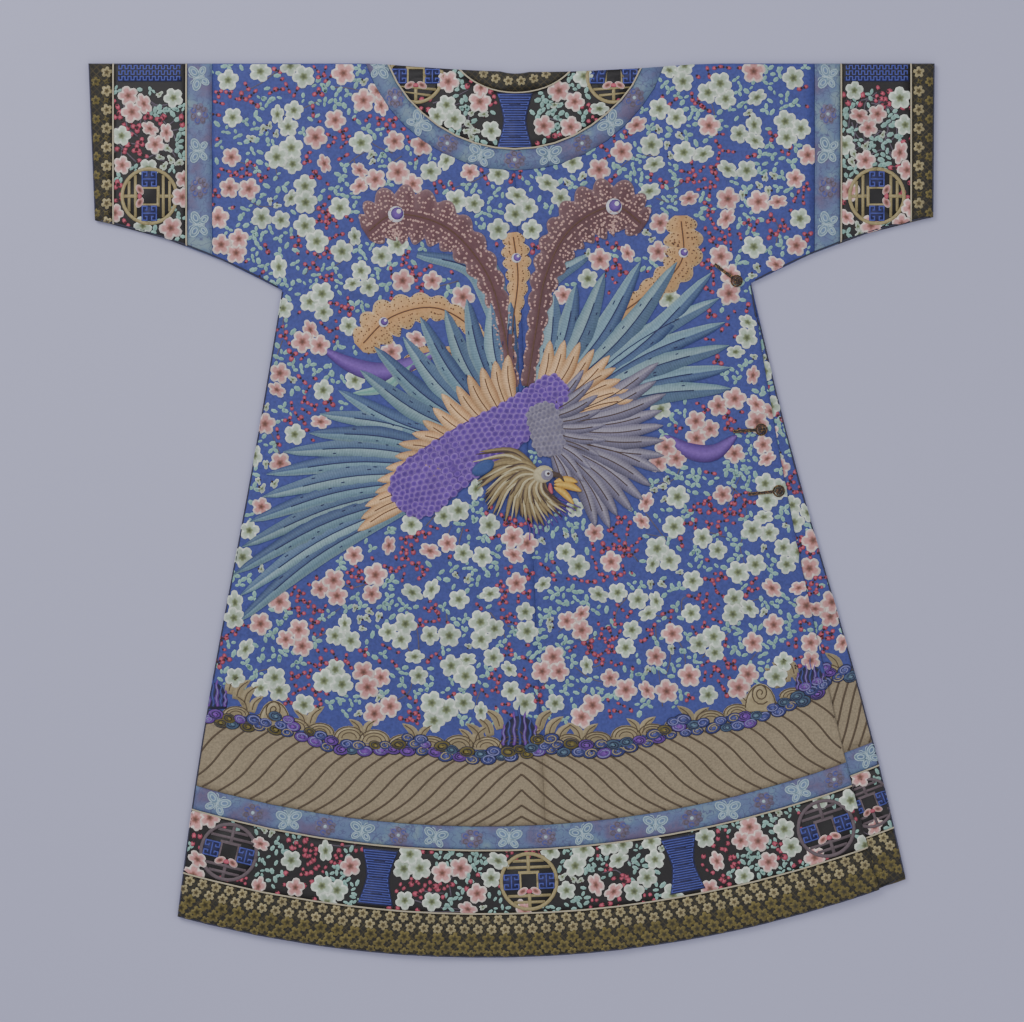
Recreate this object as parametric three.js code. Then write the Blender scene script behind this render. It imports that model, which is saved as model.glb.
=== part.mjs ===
// An East Asian winter robe, laid flat with its back up, in millimetres.
// +X is the viewer's right, +Y runs from the hem to the shoulders, +Z up from the surface it lies on.
// The origin is the middle of the robe's outline, on that surface.
// The front lies flat underneath. The back lies on it, and its borders are pieced on edge to edge.
// Down the right side the lapel comes round from the front, under the back's fastened edge.
import * as THREE from 'three';

// ---- Driving dimensions ----
const LENGTH = 1384; // shoulder line to the lowest point of the hem
const SHOULDER_Y = LENGTH / 2;
const HALF_SPAN = 655; // middle to the end of a cuff
const CLOTH = 4.6; // silk and lining together, pressed flat
const LAPEL_CLOTH = 3.4;
const BORDER_EXTRA = 0.8; // how much thicker the brocade borders are than the ground
const EDGE_CLOTH = 1.8; // what is left of the thickness at a turned edge
const EDGE_RADIUS = 12; // width over which a turned edge rounds off
const GAP = 0.3; // between pieces, at seams and between layers

const LEFT = {
  sign: -1,
  armpit: { x: -355, y: 341 },
  cuffSlant: 10, // how far the cuff's end comes in between the shoulder and the underarm
  underarm: { y: 449, drop: 108 }, // height at the cuff's end, and the fall from there to the armpit
  seams: { ribbon: -463, brocade: -503, gold: -616 },
};
const RIGHT = {
  sign: 1,
  armpit: { x: 371, y: 352 },
  cuffSlant: 2,
  underarm: { y: 454, drop: 102 },
  seams: { ribbon: 469, brocade: 510, gold: 618 },
};

// Edges that run down the robe. Each is a line to the hem, bowed sideways at its middle, with a sway
// that takes the upper half to one side and the lower half to the other.
const LEFT_SIDE = { top: LEFT.armpit, foot: { x: -517, y: -628 }, bow: -5, sway: 3.5 };
const RIGHT_SIDE = { top: RIGHT.armpit, foot: { x: 611, y: -573 }, bow: 0, sway: -5 };
const BACK_EDGE = { top: RIGHT.armpit, foot: { x: 571, y: -593 }, bow: -15, sway: 0 };
const CENTRE_SEAM = { top: { x: 5, y: 530 }, foot: { x: 62, y: -690 }, bow: 0, sway: 0 };

const HEM = { x: -41, y: -SHOULDER_Y, radius: 1816 }; // lowest point of the hem's arc, and its radius
const HEM_BANDS = { gold: 68, brocade: 166, ribbon: 203 }; // upper edge of each band, above the hem
const LAPEL_LIFT = { hem: 3, bands: 14 }; // how much higher the hem and the bands lie on the lapel
// Where the lapel starts, how much of it the back covers, how the back slopes down beside it, and how far
// what lies on the lapel stays from the back's edge.
const LAPEL = { top: 300, hidden: 40, ease: 10, slope: 60, clear: 1 };

// The neck's borders are rings round a point beyond the shoulder line, because the neck is cut forward.
const NECK = { x: 5, y: 769, hole: 80, gold: 115, brocade: 210, ribbon: 243 };
const FRONT_NECK = { radius: 86, depth: 162 };
const NECK_SAG = { x: 42, reach: 255, depth: 13, fade: 90 }; // where the top edge has slipped down

// Loop-and-knot fastenings: where the knot is, which way the loop's strip runs, and the strip's length.
const FASTENINGS = [
  { name: 'upper', x: 348, y: 355, turn: 143, strip: 33 },
  { name: 'middle', x: 386, y: 125, turn: 184, strip: 34 },
  { name: 'lower', x: 413, y: 30, turn: 186, strip: 38 },
];
// Piping laid over the seams on both sides of the brocade.
const PIPING = { width: 2.6, thickness: 1.2, lift: 0.5 };
const KNOT = { radius: 6.5, flatness: 0.75 };
const LOOP = { width: 5, thickness: 2.2, clearance: 0.6, rim: 2.6, lift: 0.5 };

// Soft swells of the back: where each is, which way it runs in degrees, half its length and width, and
// its height.
const SWELLS = [
  { x: -318, y: 95, turn: 100, long: 250, wide: 46, high: 3.2 },
  { x: -196, y: -240, turn: 84, long: 230, wide: 58, high: 2.4 },
  { x: 34, y: -330, turn: 94, long: 240, wide: 44, high: 2.7 },
  { x: 208, y: 30, turn: 108, long: 290, wide: 60, high: 2.3 },
  { x: 330, y: -360, turn: 112, long: 230, wide: 48, high: 3.1 },
  { x: -90, y: 300, turn: 152, long: 190, wide: 64, high: 2.1 },
  { x: 270, y: 420, turn: 40, long: 170, wide: 52, high: 2.6 },
  { x: -300, y: 470, turn: 141, long: 160, wide: 50, high: 2.5 },
  { x: -520, y: 570, turn: 172, long: 130, wide: 42, high: 2.9 },
  { x: 540, y: 560, turn: 12, long: 120, wide: 46, high: 2.6 },
  { x: -395, y: -560, turn: 97, long: 110, wide: 44, high: 3.4 },
  { x: -150, y: -625, turn: 90, long: 90, wide: 52, high: 3.0 },
  { x: 140, y: -640, turn: 86, long: 100, wide: 46, high: 3.3 },
  { x: 420, y: -560, turn: 68, long: 100, wide: 42, high: 2.8 },
];

const SWELL_FADE = [8, 75]; // distances from a sewn or folded edge over which the swells rise

// ---- How finely each piece is divided ----
const EDGE_STEPS = [0, 2.5, 7, 14]; // distances in from a turned edge
const EDGE_MARGIN = EDGE_STEPS[EDGE_STEPS.length - 1];
const YOKE_STEPS = 8; // from the middle of the neck border to the shoulder, on each side
const ARC_PASSES = 12; // rounds of the search for a point between four curved edges

// ---- Small helpers ----
const lerp = (a, b, t) => a + (b - a) * t;
const smooth = (a, b, v) => THREE.MathUtils.smoothstep(v, a, b);

// A function of height for an edge that runs down the robe.
function downward({ top, foot, bow, sway }) {
  return (y) => {
    const t = (top.y - y) / (top.y - foot.y);
    return lerp(top.x, foot.x, t) + bow * 4 * t * (1 - t) + sway * Math.sin(2 * Math.PI * t);
  };
}
const leftSide = downward(LEFT_SIDE);
const rightSide = downward(RIGHT_SIDE);
const backEdge = downward(BACK_EDGE);
const centreSeam = downward(CENTRE_SEAM);

// The hem's arc, or one that lies above it by the given offset.
function hemArc(offset) {
  const radius = HEM.radius - offset;
  const middle = HEM.y + HEM.radius;
  return (x) => middle - Math.sqrt(radius ** 2 - (x - HEM.x) ** 2);
}

// Height of a sleeve's underside, from the cuff's end to the armpit.
function underarm(half) {
  return (x) => {
    const end = cuffEnd(half)(half.underarm.y);
    const t = THREE.MathUtils.clamp((x - end) / (half.armpit.x - end), 0, 1);
    return half.underarm.y - half.underarm.drop * 0.5 * (t + t * t);
  };
}
function cuffEnd(half) {
  const fall = (y) => (SHOULDER_Y - y) / (SHOULDER_Y - half.underarm.y);
  return (y) => half.sign * (HALF_SPAN - half.cuffSlant * fall(y));
}

// Half the angle of a neck ring, where it meets the shoulder line.
const ringReach = (radius) => Math.acos((NECK.y - SHOULDER_Y) / radius);
const onRing = (radius, angle) => [NECK.x + radius * Math.sin(angle), NECK.y - radius * Math.cos(angle)];

// The upper edge of the back's ground: the neck border's outer edge, then the shoulder line.
function groundTop(x) {
  const radius = NECK.ribbon + GAP / 2;
  const across = x - NECK.x;
  if (Math.abs(across) >= radius * Math.sin(ringReach(radius))) return SHOULDER_Y;
  return NECK.y - Math.sqrt(radius ** 2 - across ** 2);
}

// The neckline of the front, a deep round notch with upright sides.
const FRONT_NECK_SHOULDER = SHOULDER_Y - FRONT_NECK.depth + FRONT_NECK.radius;
function frontNeckline(x) {
  const across = Math.min(Math.abs(x - NECK.x), FRONT_NECK.radius);
  return FRONT_NECK_SHOULDER - Math.sqrt(FRONT_NECK.radius ** 2 - across ** 2);
}

// ---- Edges as polylines, and distances to them ----
const steps = (count) => Array.from({ length: count + 1 }, (_, i) => i / count);
const along = (from, to, point, count = 12) => steps(count).map((t) => point(lerp(from, to, t)));

function sleeveLine(half) {
  const end = cuffEnd(half);
  const under = underarm(half);
  return [
    ...along(half.armpit.x, end(half.underarm.y), (x) => [x, under(x)]),
    [end(SHOULDER_Y), SHOULDER_Y],
  ];
}
const neckLine = along(-1, 1, (t) => onRing(NECK.hole, t * ringReach(NECK.hole)), 6);
const frontNeckLine = [
  [NECK.x - FRONT_NECK.radius, SHOULDER_Y],
  ...along(-1, 1, (t) => {
    const x = NECK.x + FRONT_NECK.radius * t;
    return [x, frontNeckline(x)];
  }),
  [NECK.x + FRONT_NECK.radius, SHOULDER_Y],
];

// A layer's edge above the hem: up its left side, over the sleeves and the neck, and down its right side.
function upperEdge(neck, right) {
  const left = along(LEFT_SIDE.foot.y, LEFT.armpit.y, (y) => [leftSide(y), y]);
  const down = along(RIGHT.armpit.y, right.foot.y, (y) => [downward(right)(y), y]);
  return [...left, ...sleeveLine(LEFT), ...neck, ...sleeveLine(RIGHT).reverse(), ...down];
}
const hemLine = (right) => along(right.foot.x, LEFT_SIDE.foot.x, (x) => [x, hemArc(0)(x)]);
const backUpperEdge = upperEdge(neckLine, BACK_EDGE);
const backOutline = [...backUpperEdge, ...hemLine(BACK_EDGE)];
const frontOutline = [...upperEdge(frontNeckLine, RIGHT_SIDE), ...hemLine(RIGHT_SIDE)];

function distanceTo(line, x, y) {
  let nearest = Infinity;
  for (let i = 1; i < line.length; i++) {
    const [ax, ay] = line[i - 1];
    const [bx, by] = line[i];
    const span = (bx - ax) ** 2 + (by - ay) ** 2 || 1;
    const t = THREE.MathUtils.clamp(((x - ax) * (bx - ax) + (y - ay) * (by - ay)) / span, 0, 1);
    nearest = Math.min(nearest, Math.hypot(x - lerp(ax, bx, t), y - lerp(ay, by, t)));
  }
  return nearest;
}

// 0 at an edge, rising in a quarter round to 1 further in.
function roundness(distance) {
  const t = Math.min(distance / EDGE_RADIUS, 1);
  return Math.sqrt(1 - (1 - t) ** 2);
}

// ---- Heights of the layers ----
const LAYER_Z = CLOTH + GAP; // underside of what lies on the front
const LAPEL_RISE = LAPEL_CLOTH + GAP;

// How far the back rests above the front: over the lapel near its own edge, and on its swells elsewhere.
function lift(x, y) {
  const covered = LAPEL.hidden + LAPEL.ease;
  const belowArmpit = 1 - smooth(LAPEL.top + LAPEL.ease, RIGHT.armpit.y, y);
  const overLapel = belowArmpit * (1 - smooth(covered, covered + LAPEL.slope, backEdge(y) - x));
  let swell = 0;
  for (const s of SWELLS) {
    const turn = THREE.MathUtils.degToRad(s.turn);
    const u = (x - s.x) * Math.cos(turn) + (y - s.y) * Math.sin(turn);
    const v = (y - s.y) * Math.cos(turn) - (x - s.x) * Math.sin(turn);
    swell += s.high * Math.exp(-((u / s.long) ** 2) - (v / s.wide) ** 2);
  }
  const fromEdge = distanceTo(backUpperEdge, x, y);
  return LAPEL_RISE * overLapel + swell * smooth(...SWELL_FADE, fromEdge) * (1 - overLapel);
}

const backUnder = (x, y) => LAYER_Z + lift(x, y);
const backOver = (extra) => (x, y) =>
  backUnder(x, y) + lerp(EDGE_CLOTH, CLOTH + extra, roundness(distanceTo(backOutline, x, y)));
const frontUnder = (x, y) => (CLOTH - EDGE_CLOTH) * (1 - roundness(distanceTo(frontOutline, x, y)));
const frontOver = () => CLOTH;
const lapelUnder = () => LAYER_Z;
const raised = (surface, height) => (x, y) => surface(x, y) + height;
const lapelOver = (x, y) =>
  LAYER_Z + lerp(EDGE_CLOTH, LAPEL_CLOTH, roundness(distanceTo(frontOutline, x, y)));

// The top edge has slipped down at the neck, and takes every piece there with it.
function settled(x, y) {
  const across = Math.min(Math.abs(x - NECK_SAG.x) / NECK_SAG.reach, 1);
  const bump = Math.cos((Math.PI / 2) * across);
  return y - NECK_SAG.depth * bump * smooth(SHOULDER_Y - NECK_SAG.fade, SHOULDER_Y, y);
}

// ---- Stations: places between two edges, as functions of those edges ----
const share = (t) => (a, b) => lerp(a, b, t);
const inFrom = (d) => (a, b) => b - Math.sign(b - a) * d;
const outFrom = (d) => (a, b) => a + Math.sign(b - a) * d;

// Stations from one edge to the other, with fine steps at the ends that are turned edges.
function stations(cells, { turnedStart = false, turnedEnd = false } = {}) {
  const first = turnedStart ? EDGE_STEPS.slice(0, -1).map(outFrom) : [];
  const last = turnedEnd ? EDGE_STEPS.slice(0, -1).reverse().map(inFrom) : [];
  const middle = steps(cells).map((t) => (a, b) => {
    const start = turnedStart ? outFrom(EDGE_MARGIN)(a, b) : a;
    const end = turnedEnd ? inFrom(EDGE_MARGIN)(a, b) : b;
    return lerp(start, end, t);
  });
  return [...first, ...middle, ...last];
}

// ---- A sheet of cloth: plan patches that share corners, made into one closed wall ----
class Sheet {
  constructor() {
    this.corners = [];
    this.known = new Map();
    this.quads = [];
  }

  corner(x, y) {
    const key = `${x.toFixed(2)},${y.toFixed(2)}`;
    if (!this.known.has(key)) {
      this.known.set(key, this.corners.length);
      this.corners.push([x, y]);
    }
    return this.known.get(key);
  }

  // Adds a grid of quads. place gives the plan point for a column and a row.
  grid(columns, rows, place) {
    const index = columns.map((c) => rows.map((r) => this.corner(...place(c, r))));
    for (let i = 1; i < columns.length; i++) {
      for (let j = 1; j < rows.length; j++) {
        const quad = [index[i - 1][j - 1], index[i][j - 1], index[i][j], index[i - 1][j]];
        this.quads.push(this.area(quad) > 0 ? quad : quad.reverse());
      }
    }
    return this;
  }

  area(quad) {
    return quad.reduce((sum, at, i) => {
      const [ax, ay] = this.corners[at];
      const [bx, by] = this.corners[quad[(i + 1) % quad.length]];
      return sum + ax * by - bx * ay;
    }, 0);
  }

  // A grid between four edges, each a function of the other coordinate.
  between({ inner, outer, low, high }, columns, rows) {
    return this.grid(columns, rows, (column, row) => {
      let x = inner(low(0));
      let y = low(x);
      for (let i = 0; i < ARC_PASSES; i++) {
        y = row(low(x), high(x));
        x = column(inner(y), outer(y));
      }
      return [x, y];
    });
  }

  // The closed wall between two heights.
  wall(over, under) {
    const count = this.corners.length;
    const positions = [over, under].flatMap((height) =>
      this.corners.flatMap(([x, y]) => [x, settled(x, y), height(x, y)]),
    );
    const faces = [];
    const edges = new Set();
    for (const quad of this.quads) {
      const [a, b, c, d] = quad;
      faces.push(a, b, c, a, c, d);
      faces.push(...[c, b, a, d, c, a].map((i) => i + count));
      quad.forEach((at, i) => edges.add(`${at},${quad[(i + 1) % 4]}`));
    }
    for (const edge of edges) {
      const [a, b] = edge.split(',').map(Number);
      if (!edges.has(`${b},${a}`)) faces.push(a + count, b + count, b, a + count, b, a);
    }
    const geometry = new THREE.BufferGeometry();
    geometry.setAttribute('position', new THREE.Float32BufferAttribute(positions, 3));
    geometry.setIndex(faces);
    geometry.computeVertexNormals();
    return geometry;
  }
}

// ---- Materials ----
const cloth = (color, roughness = 0.75, metalness = 0) =>
  new THREE.MeshStandardMaterial({ color, roughness, metalness });
const MATERIALS = {
  ground: cloth('#3f5596', 0.6),
  brocade: cloth('#2a2528', 0.7),
  gold: cloth('#6d6540', 0.55, 0.15),
  ribbon: cloth('#7388ac', 0.65),
  piping: cloth('#a89d85', 0.6),
  fastening: cloth('#2c2a26', 0.6),
};

const robe = new THREE.Group();
function add(name, geometry, material) {
  const mesh = new THREE.Mesh(geometry, material);
  mesh.name = name;
  robe.add(mesh);
  return mesh;
}

// ---- Body panels, each half cut in one with its sleeve ----

// Columns from the centre seam to the side, which at the top fall on the neck border's steps.
function bodyColumns(half) {
  const width = Math.abs(half.armpit.x - NECK.x);
  const radius = NECK.ribbon + GAP / 2;
  const reach = ringReach(radius);
  const yoke = steps(YOKE_STEPS).map((t) => share((radius * Math.sin(t * reach)) / width));
  const start = (radius * Math.sin(reach)) / width;
  const covered = LAPEL.hidden + LAPEL.ease;
  const between = (a, b) => lerp(lerp(a, b, start), inFrom(covered)(a, b), 1 / 2);
  return [...yoke, between, inFrom(covered), ...EDGE_STEPS.slice().reverse().map(inFrom)];
}

// From the armpit up: columns stand between the armpit's level and an upper edge.
function upperBody(sheet, half, columns, rows, seam, top) {
  const place = (column, row) => {
    const foot = column(seam(half.armpit.y), half.armpit.x);
    const head = column(NECK.x + half.sign * (GAP / 2), half.armpit.x);
    const y = row(half.armpit.y, top(head));
    return [lerp(foot, head, (y - half.armpit.y) / (top(head) - half.armpit.y)), y];
  };
  return sheet.grid(columns, rows, place);
}

function backPanel(half) {
  const seam = (y) => centreSeam(y) + half.sign * (GAP / 2);
  const side = half === LEFT ? leftSide : backEdge;
  const columns = bodyColumns(half);
  const rows = stations(5, { turnedStart: true, turnedEnd: true });
  const sheet = new Sheet();
  const aboveBands = (x) => hemArc(HEM_BANDS.ribbon)(x) + GAP / 2;
  const lowerRows = [...steps(9).map((t) => (a) => lerp(a, LAPEL.top + LAPEL.ease, t)), share(1)];
  const lower = { inner: seam, outer: side, low: aboveBands, high: () => half.armpit.y };
  sheet.between(lower, columns, lowerRows);
  upperBody(sheet, half, columns, rows, seam, groundTop);
  const sleeve = {
    inner: () => half.armpit.x,
    outer: () => half.seams.ribbon - half.sign * (GAP / 2),
    low: underarm(half),
    high: () => SHOULDER_Y,
  };
  return sheet.between(sleeve, stations(3), rows).wall(backOver(0), backUnder);
}

// The front is whole to the hem and cuffs, because it lies face down on the surface.
function frontPanel(half) {
  const seam = () => NECK.x + half.sign * (GAP / 2);
  const side = half === LEFT ? leftSide : rightSide;
  const notch = (FRONT_NECK.radius - GAP / 2) / Math.abs(half.armpit.x - NECK.x);
  const inNotch = [0, 0.4, 0.75, 1].map((t) => share(notch * t));
  const beyond = [1 / 2, 1].map((t) => (a, b) => lerp(lerp(a, b, notch), inFrom(EDGE_MARGIN)(a, b), t));
  const edge = EDGE_STEPS.slice(0, -1).reverse().map(inFrom);
  const columns = [...inNotch, ...beyond, ...edge];
  const sheet = new Sheet();
  const hemRows = stations(5, { turnedStart: true });
  const lower = { inner: seam, outer: side, low: hemArc(0), high: () => half.armpit.y };
  sheet.between(lower, columns, hemRows);
  const middleRows = stations(2, { turnedStart: true });
  const chest = (x) => (Math.abs(x - NECK.x) < FRONT_NECK.radius ? frontNeckline(x) : FRONT_NECK_SHOULDER);
  upperBody(sheet, half, columns, middleRows, seam, chest);
  const topRows = stations(1, { turnedEnd: true });
  const beside = [...inNotch.slice(-1), ...beyond, ...edge];
  sheet.grid(beside, topRows, (column, row) => [
    column(seam(), half.armpit.x),
    row(FRONT_NECK_SHOULDER, SHOULDER_Y),
  ]);
  const sleeve = { inner: () => half.armpit.x, outer: cuffEnd(half) };
  const sleeveColumns = stations(3, { turnedEnd: true });
  const lowerSleeve = { ...sleeve, low: underarm(half), high: () => FRONT_NECK_SHOULDER };
  const upperSleeve = { ...sleeve, low: () => FRONT_NECK_SHOULDER, high: () => SHOULDER_Y };
  sheet.between(lowerSleeve, sleeveColumns, middleRows);
  sheet.between(upperSleeve, sleeveColumns, topRows);
  return sheet.wall(frontOver, frontUnder);
}

add('back_left', backPanel(LEFT), MATERIALS.ground);
const backRight = add('back_right', backPanel(RIGHT), MATERIALS.ground);
add('front_left', frontPanel(LEFT), MATERIALS.ground);
add('front_right', frontPanel(RIGHT), MATERIALS.ground);

// ---- Neck border: three rings ----
function neckRing(inner, outer, cells, turnedStart) {
  const across = steps(2 * YOKE_STEPS).map((t) => 2 * t - 1);
  const radii = stations(cells, { turnedStart }).map((at) => at(inner, outer));
  return new Sheet().grid(across, radii, (t, radius) => onRing(radius, t * ringReach(radius)));
}
const neckBands = [
  { name: 'neck_gold', inner: NECK.hole, outer: NECK.gold, cells: 1, turned: true, material: 'gold' },
  { name: 'neck_brocade', inner: NECK.gold, outer: NECK.brocade, cells: 3, material: 'brocade' },
  { name: 'neck_ribbon', inner: NECK.brocade, outer: NECK.ribbon, cells: 1, material: 'ribbon' },
];
for (const { name, inner, outer, cells, turned, material } of neckBands) {
  const start = inner + (turned ? 0 : GAP / 2);
  const sheet = neckRing(start, outer - GAP / 2, cells, turned);
  add(name, sheet.wall(backOver(BORDER_EXTRA), backUnder), MATERIALS[material]);
}

// Piping over a seam, on the surface that its sheet lies on.
function addPiping(name, sheet, surface) {
  const under = raised(surface, PIPING.lift);
  add(name, sheet.wall(raised(under, PIPING.thickness), under), MATERIALS.piping);
}
const onBorders = backOver(BORDER_EXTRA);
for (const [side, radius] of [['inner', NECK.gold], ['outer', NECK.brocade]]) {
  const sheet = neckRing(radius - PIPING.width / 2, radius + PIPING.width / 2, 1, false);
  addPiping(`neck_piping_${side}`, sheet, onBorders);
}

// ---- Cuff bands, from the sleeve out ----
for (const [word, half] of [['left', LEFT], ['right', RIGHT]]) {
  const { ribbon, brocade, gold } = half.seams;
  const rows = stations(4, { turnedStart: true, turnedEnd: true });
  const between = (inner, outer) => ({ inner, outer, low: underarm(half), high: () => SHOULDER_Y });
  const bands = [
    { material: 'ribbon', from: ribbon, to: () => brocade, cells: 1, turned: false },
    { material: 'brocade', from: brocade, to: () => gold, cells: 3, turned: false },
    { material: 'gold', from: gold, to: cuffEnd(half), cells: 1, turned: true },
  ];
  for (const { material, from, to, cells, turned } of bands) {
    const inner = () => from + half.sign * (GAP / 2);
    const outer = (y) => to(y) - (turned ? 0 : half.sign * (GAP / 2));
    const columns = stations(cells, { turnedEnd: turned });
    const sheet = new Sheet().between(between(inner, outer), columns, rows);
    add(`cuff_${material}_${word}`, sheet.wall(onBorders, backUnder), MATERIALS[material]);
  }
  for (const [side, seam] of [['inner', brocade], ['outer', gold]]) {
    const inner = () => seam - half.sign * (PIPING.width / 2);
    const outer = () => seam + half.sign * (PIPING.width / 2);
    const sheet = new Sheet().between(between(inner, outer), stations(1), rows);
    addPiping(`cuff_piping_${side}_${word}`, sheet, onBorders);
  }
}

// ---- Hem bands of the back, and the lapel with its own ----
const hemBands = [
  { material: 'gold', from: 0, to: HEM_BANDS.gold, cells: 2 },
  { material: 'brocade', from: HEM_BANDS.gold, to: HEM_BANDS.brocade, cells: 3 },
  { material: 'ribbon', from: HEM_BANDS.brocade, to: HEM_BANDS.ribbon, cells: 1 },
];
const hemSeams = [['lower', HEM_BANDS.gold], ['upper', HEM_BANDS.brocade]];

// A strip of the back between two heights above the hem, in two halves that meet at the centre seam.
function hemStrip(low, high, rows) {
  const sheet = new Sheet();
  sheet.between({ inner: centreSeam, outer: leftSide, low, high }, bodyColumns(LEFT), rows);
  return sheet.between({ inner: centreSeam, outer: backEdge, low, high }, bodyColumns(RIGHT), rows);
}

// A strip of the lapel, which lies a little higher than the back's, from under the back or from its edge.
const hiddenEdge = (y) => backEdge(y) - LAPEL.hidden;
const shownEdge = (y) => backEdge(y) + LAPEL.clear;
function lapelStrip(low, high, rows, inner = hiddenEdge) {
  const columns = stations(2, { turnedEnd: true });
  return new Sheet().between({ inner, outer: rightSide, low, high }, columns, rows);
}
const lapelArc = (offset) => hemArc(offset + (offset ? LAPEL_LIFT.bands : LAPEL_LIFT.hem));

const hems = [
  { part: 'hem', arc: hemArc, strip: hemStrip, over: onBorders, under: backUnder },
  { part: 'lapel', arc: lapelArc, strip: lapelStrip, over: lapelOver, under: lapelUnder },
];
for (const { part, arc, strip, over, under } of hems) {
  for (const { material, from, to, cells } of hemBands) {
    const low = (x) => arc(from)(x) + (from ? GAP / 2 : 0);
    const high = (x) => arc(to)(x) - GAP / 2;
    const sheet = strip(low, high, stations(cells, { turnedStart: from === 0 }));
    add(`${part}_${material}`, sheet.wall(over, under), MATERIALS[material]);
  }
  for (const [side, offset] of hemSeams) {
    const low = (x) => arc(offset)(x) - PIPING.width / 2;
    const high = (x) => arc(offset)(x) + PIPING.width / 2;
    addPiping(`${part}_piping_${side}`, strip(low, high, stations(1), shownEdge), over);
  }
}

const aboveLapelBands = (x) => lapelArc(HEM_BANDS.ribbon)(x) + GAP / 2;
const lapelSide = lapelStrip(aboveLapelBands, () => LAPEL.top, stations(9));
add('lapel_side', lapelSide.wall(lapelOver, lapelUnder), MATERIALS.ground);

// ---- Fastenings: a strip that ends in an eye, lying on the back, and a knot in the eye ----
function topOf(mesh) {
  const ray = new THREE.Raycaster();
  const down = new THREE.Vector3(0, 0, -1);
  return (x, y) => {
    ray.set(new THREE.Vector3(x, y, 100), down);
    return ray.intersectObject(mesh)[0].point.z;
  };
}
const backTop = topOf(backRight);

// The eye is a ring of segments. The strip goes on from the outer edge of one of them.
function loopSheet({ x, y, turn, strip }) {
  const inner = KNOT.radius + LOOP.clearance;
  const outer = inner + LOOP.rim;
  const spread = Math.asin(LOOP.width / 2 / outer);
  const angle = THREE.MathUtils.degToRad(turn);
  const placed = (u, v) => [
    x + u * Math.cos(angle) - v * Math.sin(angle),
    y + u * Math.sin(angle) + v * Math.cos(angle),
  ];
  const ring = [-spread, ...steps(13).map((t) => lerp(spread, 2 * Math.PI - spread, t))];
  const polar = (a, radius) => placed(radius * Math.cos(a), radius * Math.sin(a));
  const start = outer * Math.cos(spread);
  const lengths = steps(3).map((t) => lerp(start, outer + strip, t));
  const sides = [-LOOP.width / 2, LOOP.width / 2];
  return new Sheet().grid(ring, [inner, outer], polar).grid(lengths, sides, placed);
}

const rest = (x, y) => backTop(Math.min(x, backEdge(y) - EDGE_MARGIN), y) + LOOP.lift;
for (const fastening of FASTENINGS) {
  const over = (x, y) => rest(x, y) + LOOP.thickness;
  add(`loop_${fastening.name}`, loopSheet(fastening).wall(over, rest), MATERIALS.fastening);

  const ball = new THREE.SphereGeometry(KNOT.radius, 12, 8).rotateX(Math.PI / 2);
  const knot = add(`knot_${fastening.name}`, ball.scale(1, 1, KNOT.flatness), MATERIALS.fastening);
  const height = rest(fastening.x, fastening.y) + KNOT.radius * KNOT.flatness;
  knot.position.set(fastening.x, fastening.y, height);
}

export default robe;
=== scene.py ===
"""Dresses a flat-laid silk robe: cloth, borders, piping, knotted loops and embroidery.

Plan places and sizes are in millimetres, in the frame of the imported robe: +X to the viewer's right,
+Y from the hem to the shoulders. Meshes are turned to metres when they are finished.
"""
import math
import random
import bmesh
import bpy
from bpy.props import FloatProperty, FloatVectorProperty, PointerProperty
from mathutils import Matrix, Vector
from mathutils.bvhtree import BVHTree


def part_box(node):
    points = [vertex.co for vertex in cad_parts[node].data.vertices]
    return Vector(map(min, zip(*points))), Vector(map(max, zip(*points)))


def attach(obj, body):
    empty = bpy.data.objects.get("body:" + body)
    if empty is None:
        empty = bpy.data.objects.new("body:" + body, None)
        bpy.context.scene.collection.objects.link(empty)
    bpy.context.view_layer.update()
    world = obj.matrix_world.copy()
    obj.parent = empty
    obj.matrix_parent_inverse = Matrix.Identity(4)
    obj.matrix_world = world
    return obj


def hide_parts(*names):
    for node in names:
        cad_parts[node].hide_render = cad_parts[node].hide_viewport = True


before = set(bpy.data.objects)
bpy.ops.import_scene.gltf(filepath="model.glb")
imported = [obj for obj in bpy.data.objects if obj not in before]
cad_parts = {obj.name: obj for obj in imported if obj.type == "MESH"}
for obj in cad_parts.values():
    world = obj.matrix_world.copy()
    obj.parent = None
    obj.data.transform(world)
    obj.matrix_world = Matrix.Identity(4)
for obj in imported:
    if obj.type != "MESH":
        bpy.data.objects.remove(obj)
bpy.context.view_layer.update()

bl_info = {
    "name": "Embroidered silk robe",
    "version": (1, 0, 0),
    "blender": (4, 5, 0),
    "location": "View3D > Sidebar > Robe",
    "description": "Dresses a flat-laid silk robe with cloth, borders, embroidery and fastenings",
    "category": "Object",
}

MM = 0.001
RNG = random.Random(7)

# ---- The robe's cut, in millimetres, as the frame has it ----
HEM_X = -41.0  # where the hem is lowest
HEM_RADIUS = 1816.0
HEM_CENTRE_Y = -692.0 + HEM_RADIUS
LAPEL_RISE = 14.0  # how much higher the lapel's borders lie
NECK_X = 5.0
NECK_Y = 769.0
# Radii at which the neck's gold, brocade and ribbon start, and where the ribbon ends.
NECK_GOLD, NECK_BROCADE, NECK_RIBBON, NECK_END = 80, 115, 210, 243
CENTRE_X = 15.5  # the line that the waves mirror about
SHOULDER = 692.0
TRIM_LINE = SHOULDER - 1.5  # where the embroidery ends, clear of the shoulder fold
# How far from the middle each band of a cuff starts.
CUFF_RIBBON, CUFF_BROCADE, CUFF_GOLD = 466.0, 506.0, 617.0
# Heights above the hem: the tops of the gold, the brocade and the ribbon, then of the striped water
# and the clouds.
GOLD_TOP, BROCADE_TOP, RIBBON_TOP, WATER_TOP, CLOUD_TOP = 68.0, 166.0, 203.0, 308.0, 336.0

# How much higher the borders of a part lie than the back's.
RISES = {"lapel": LAPEL_RISE}

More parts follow.
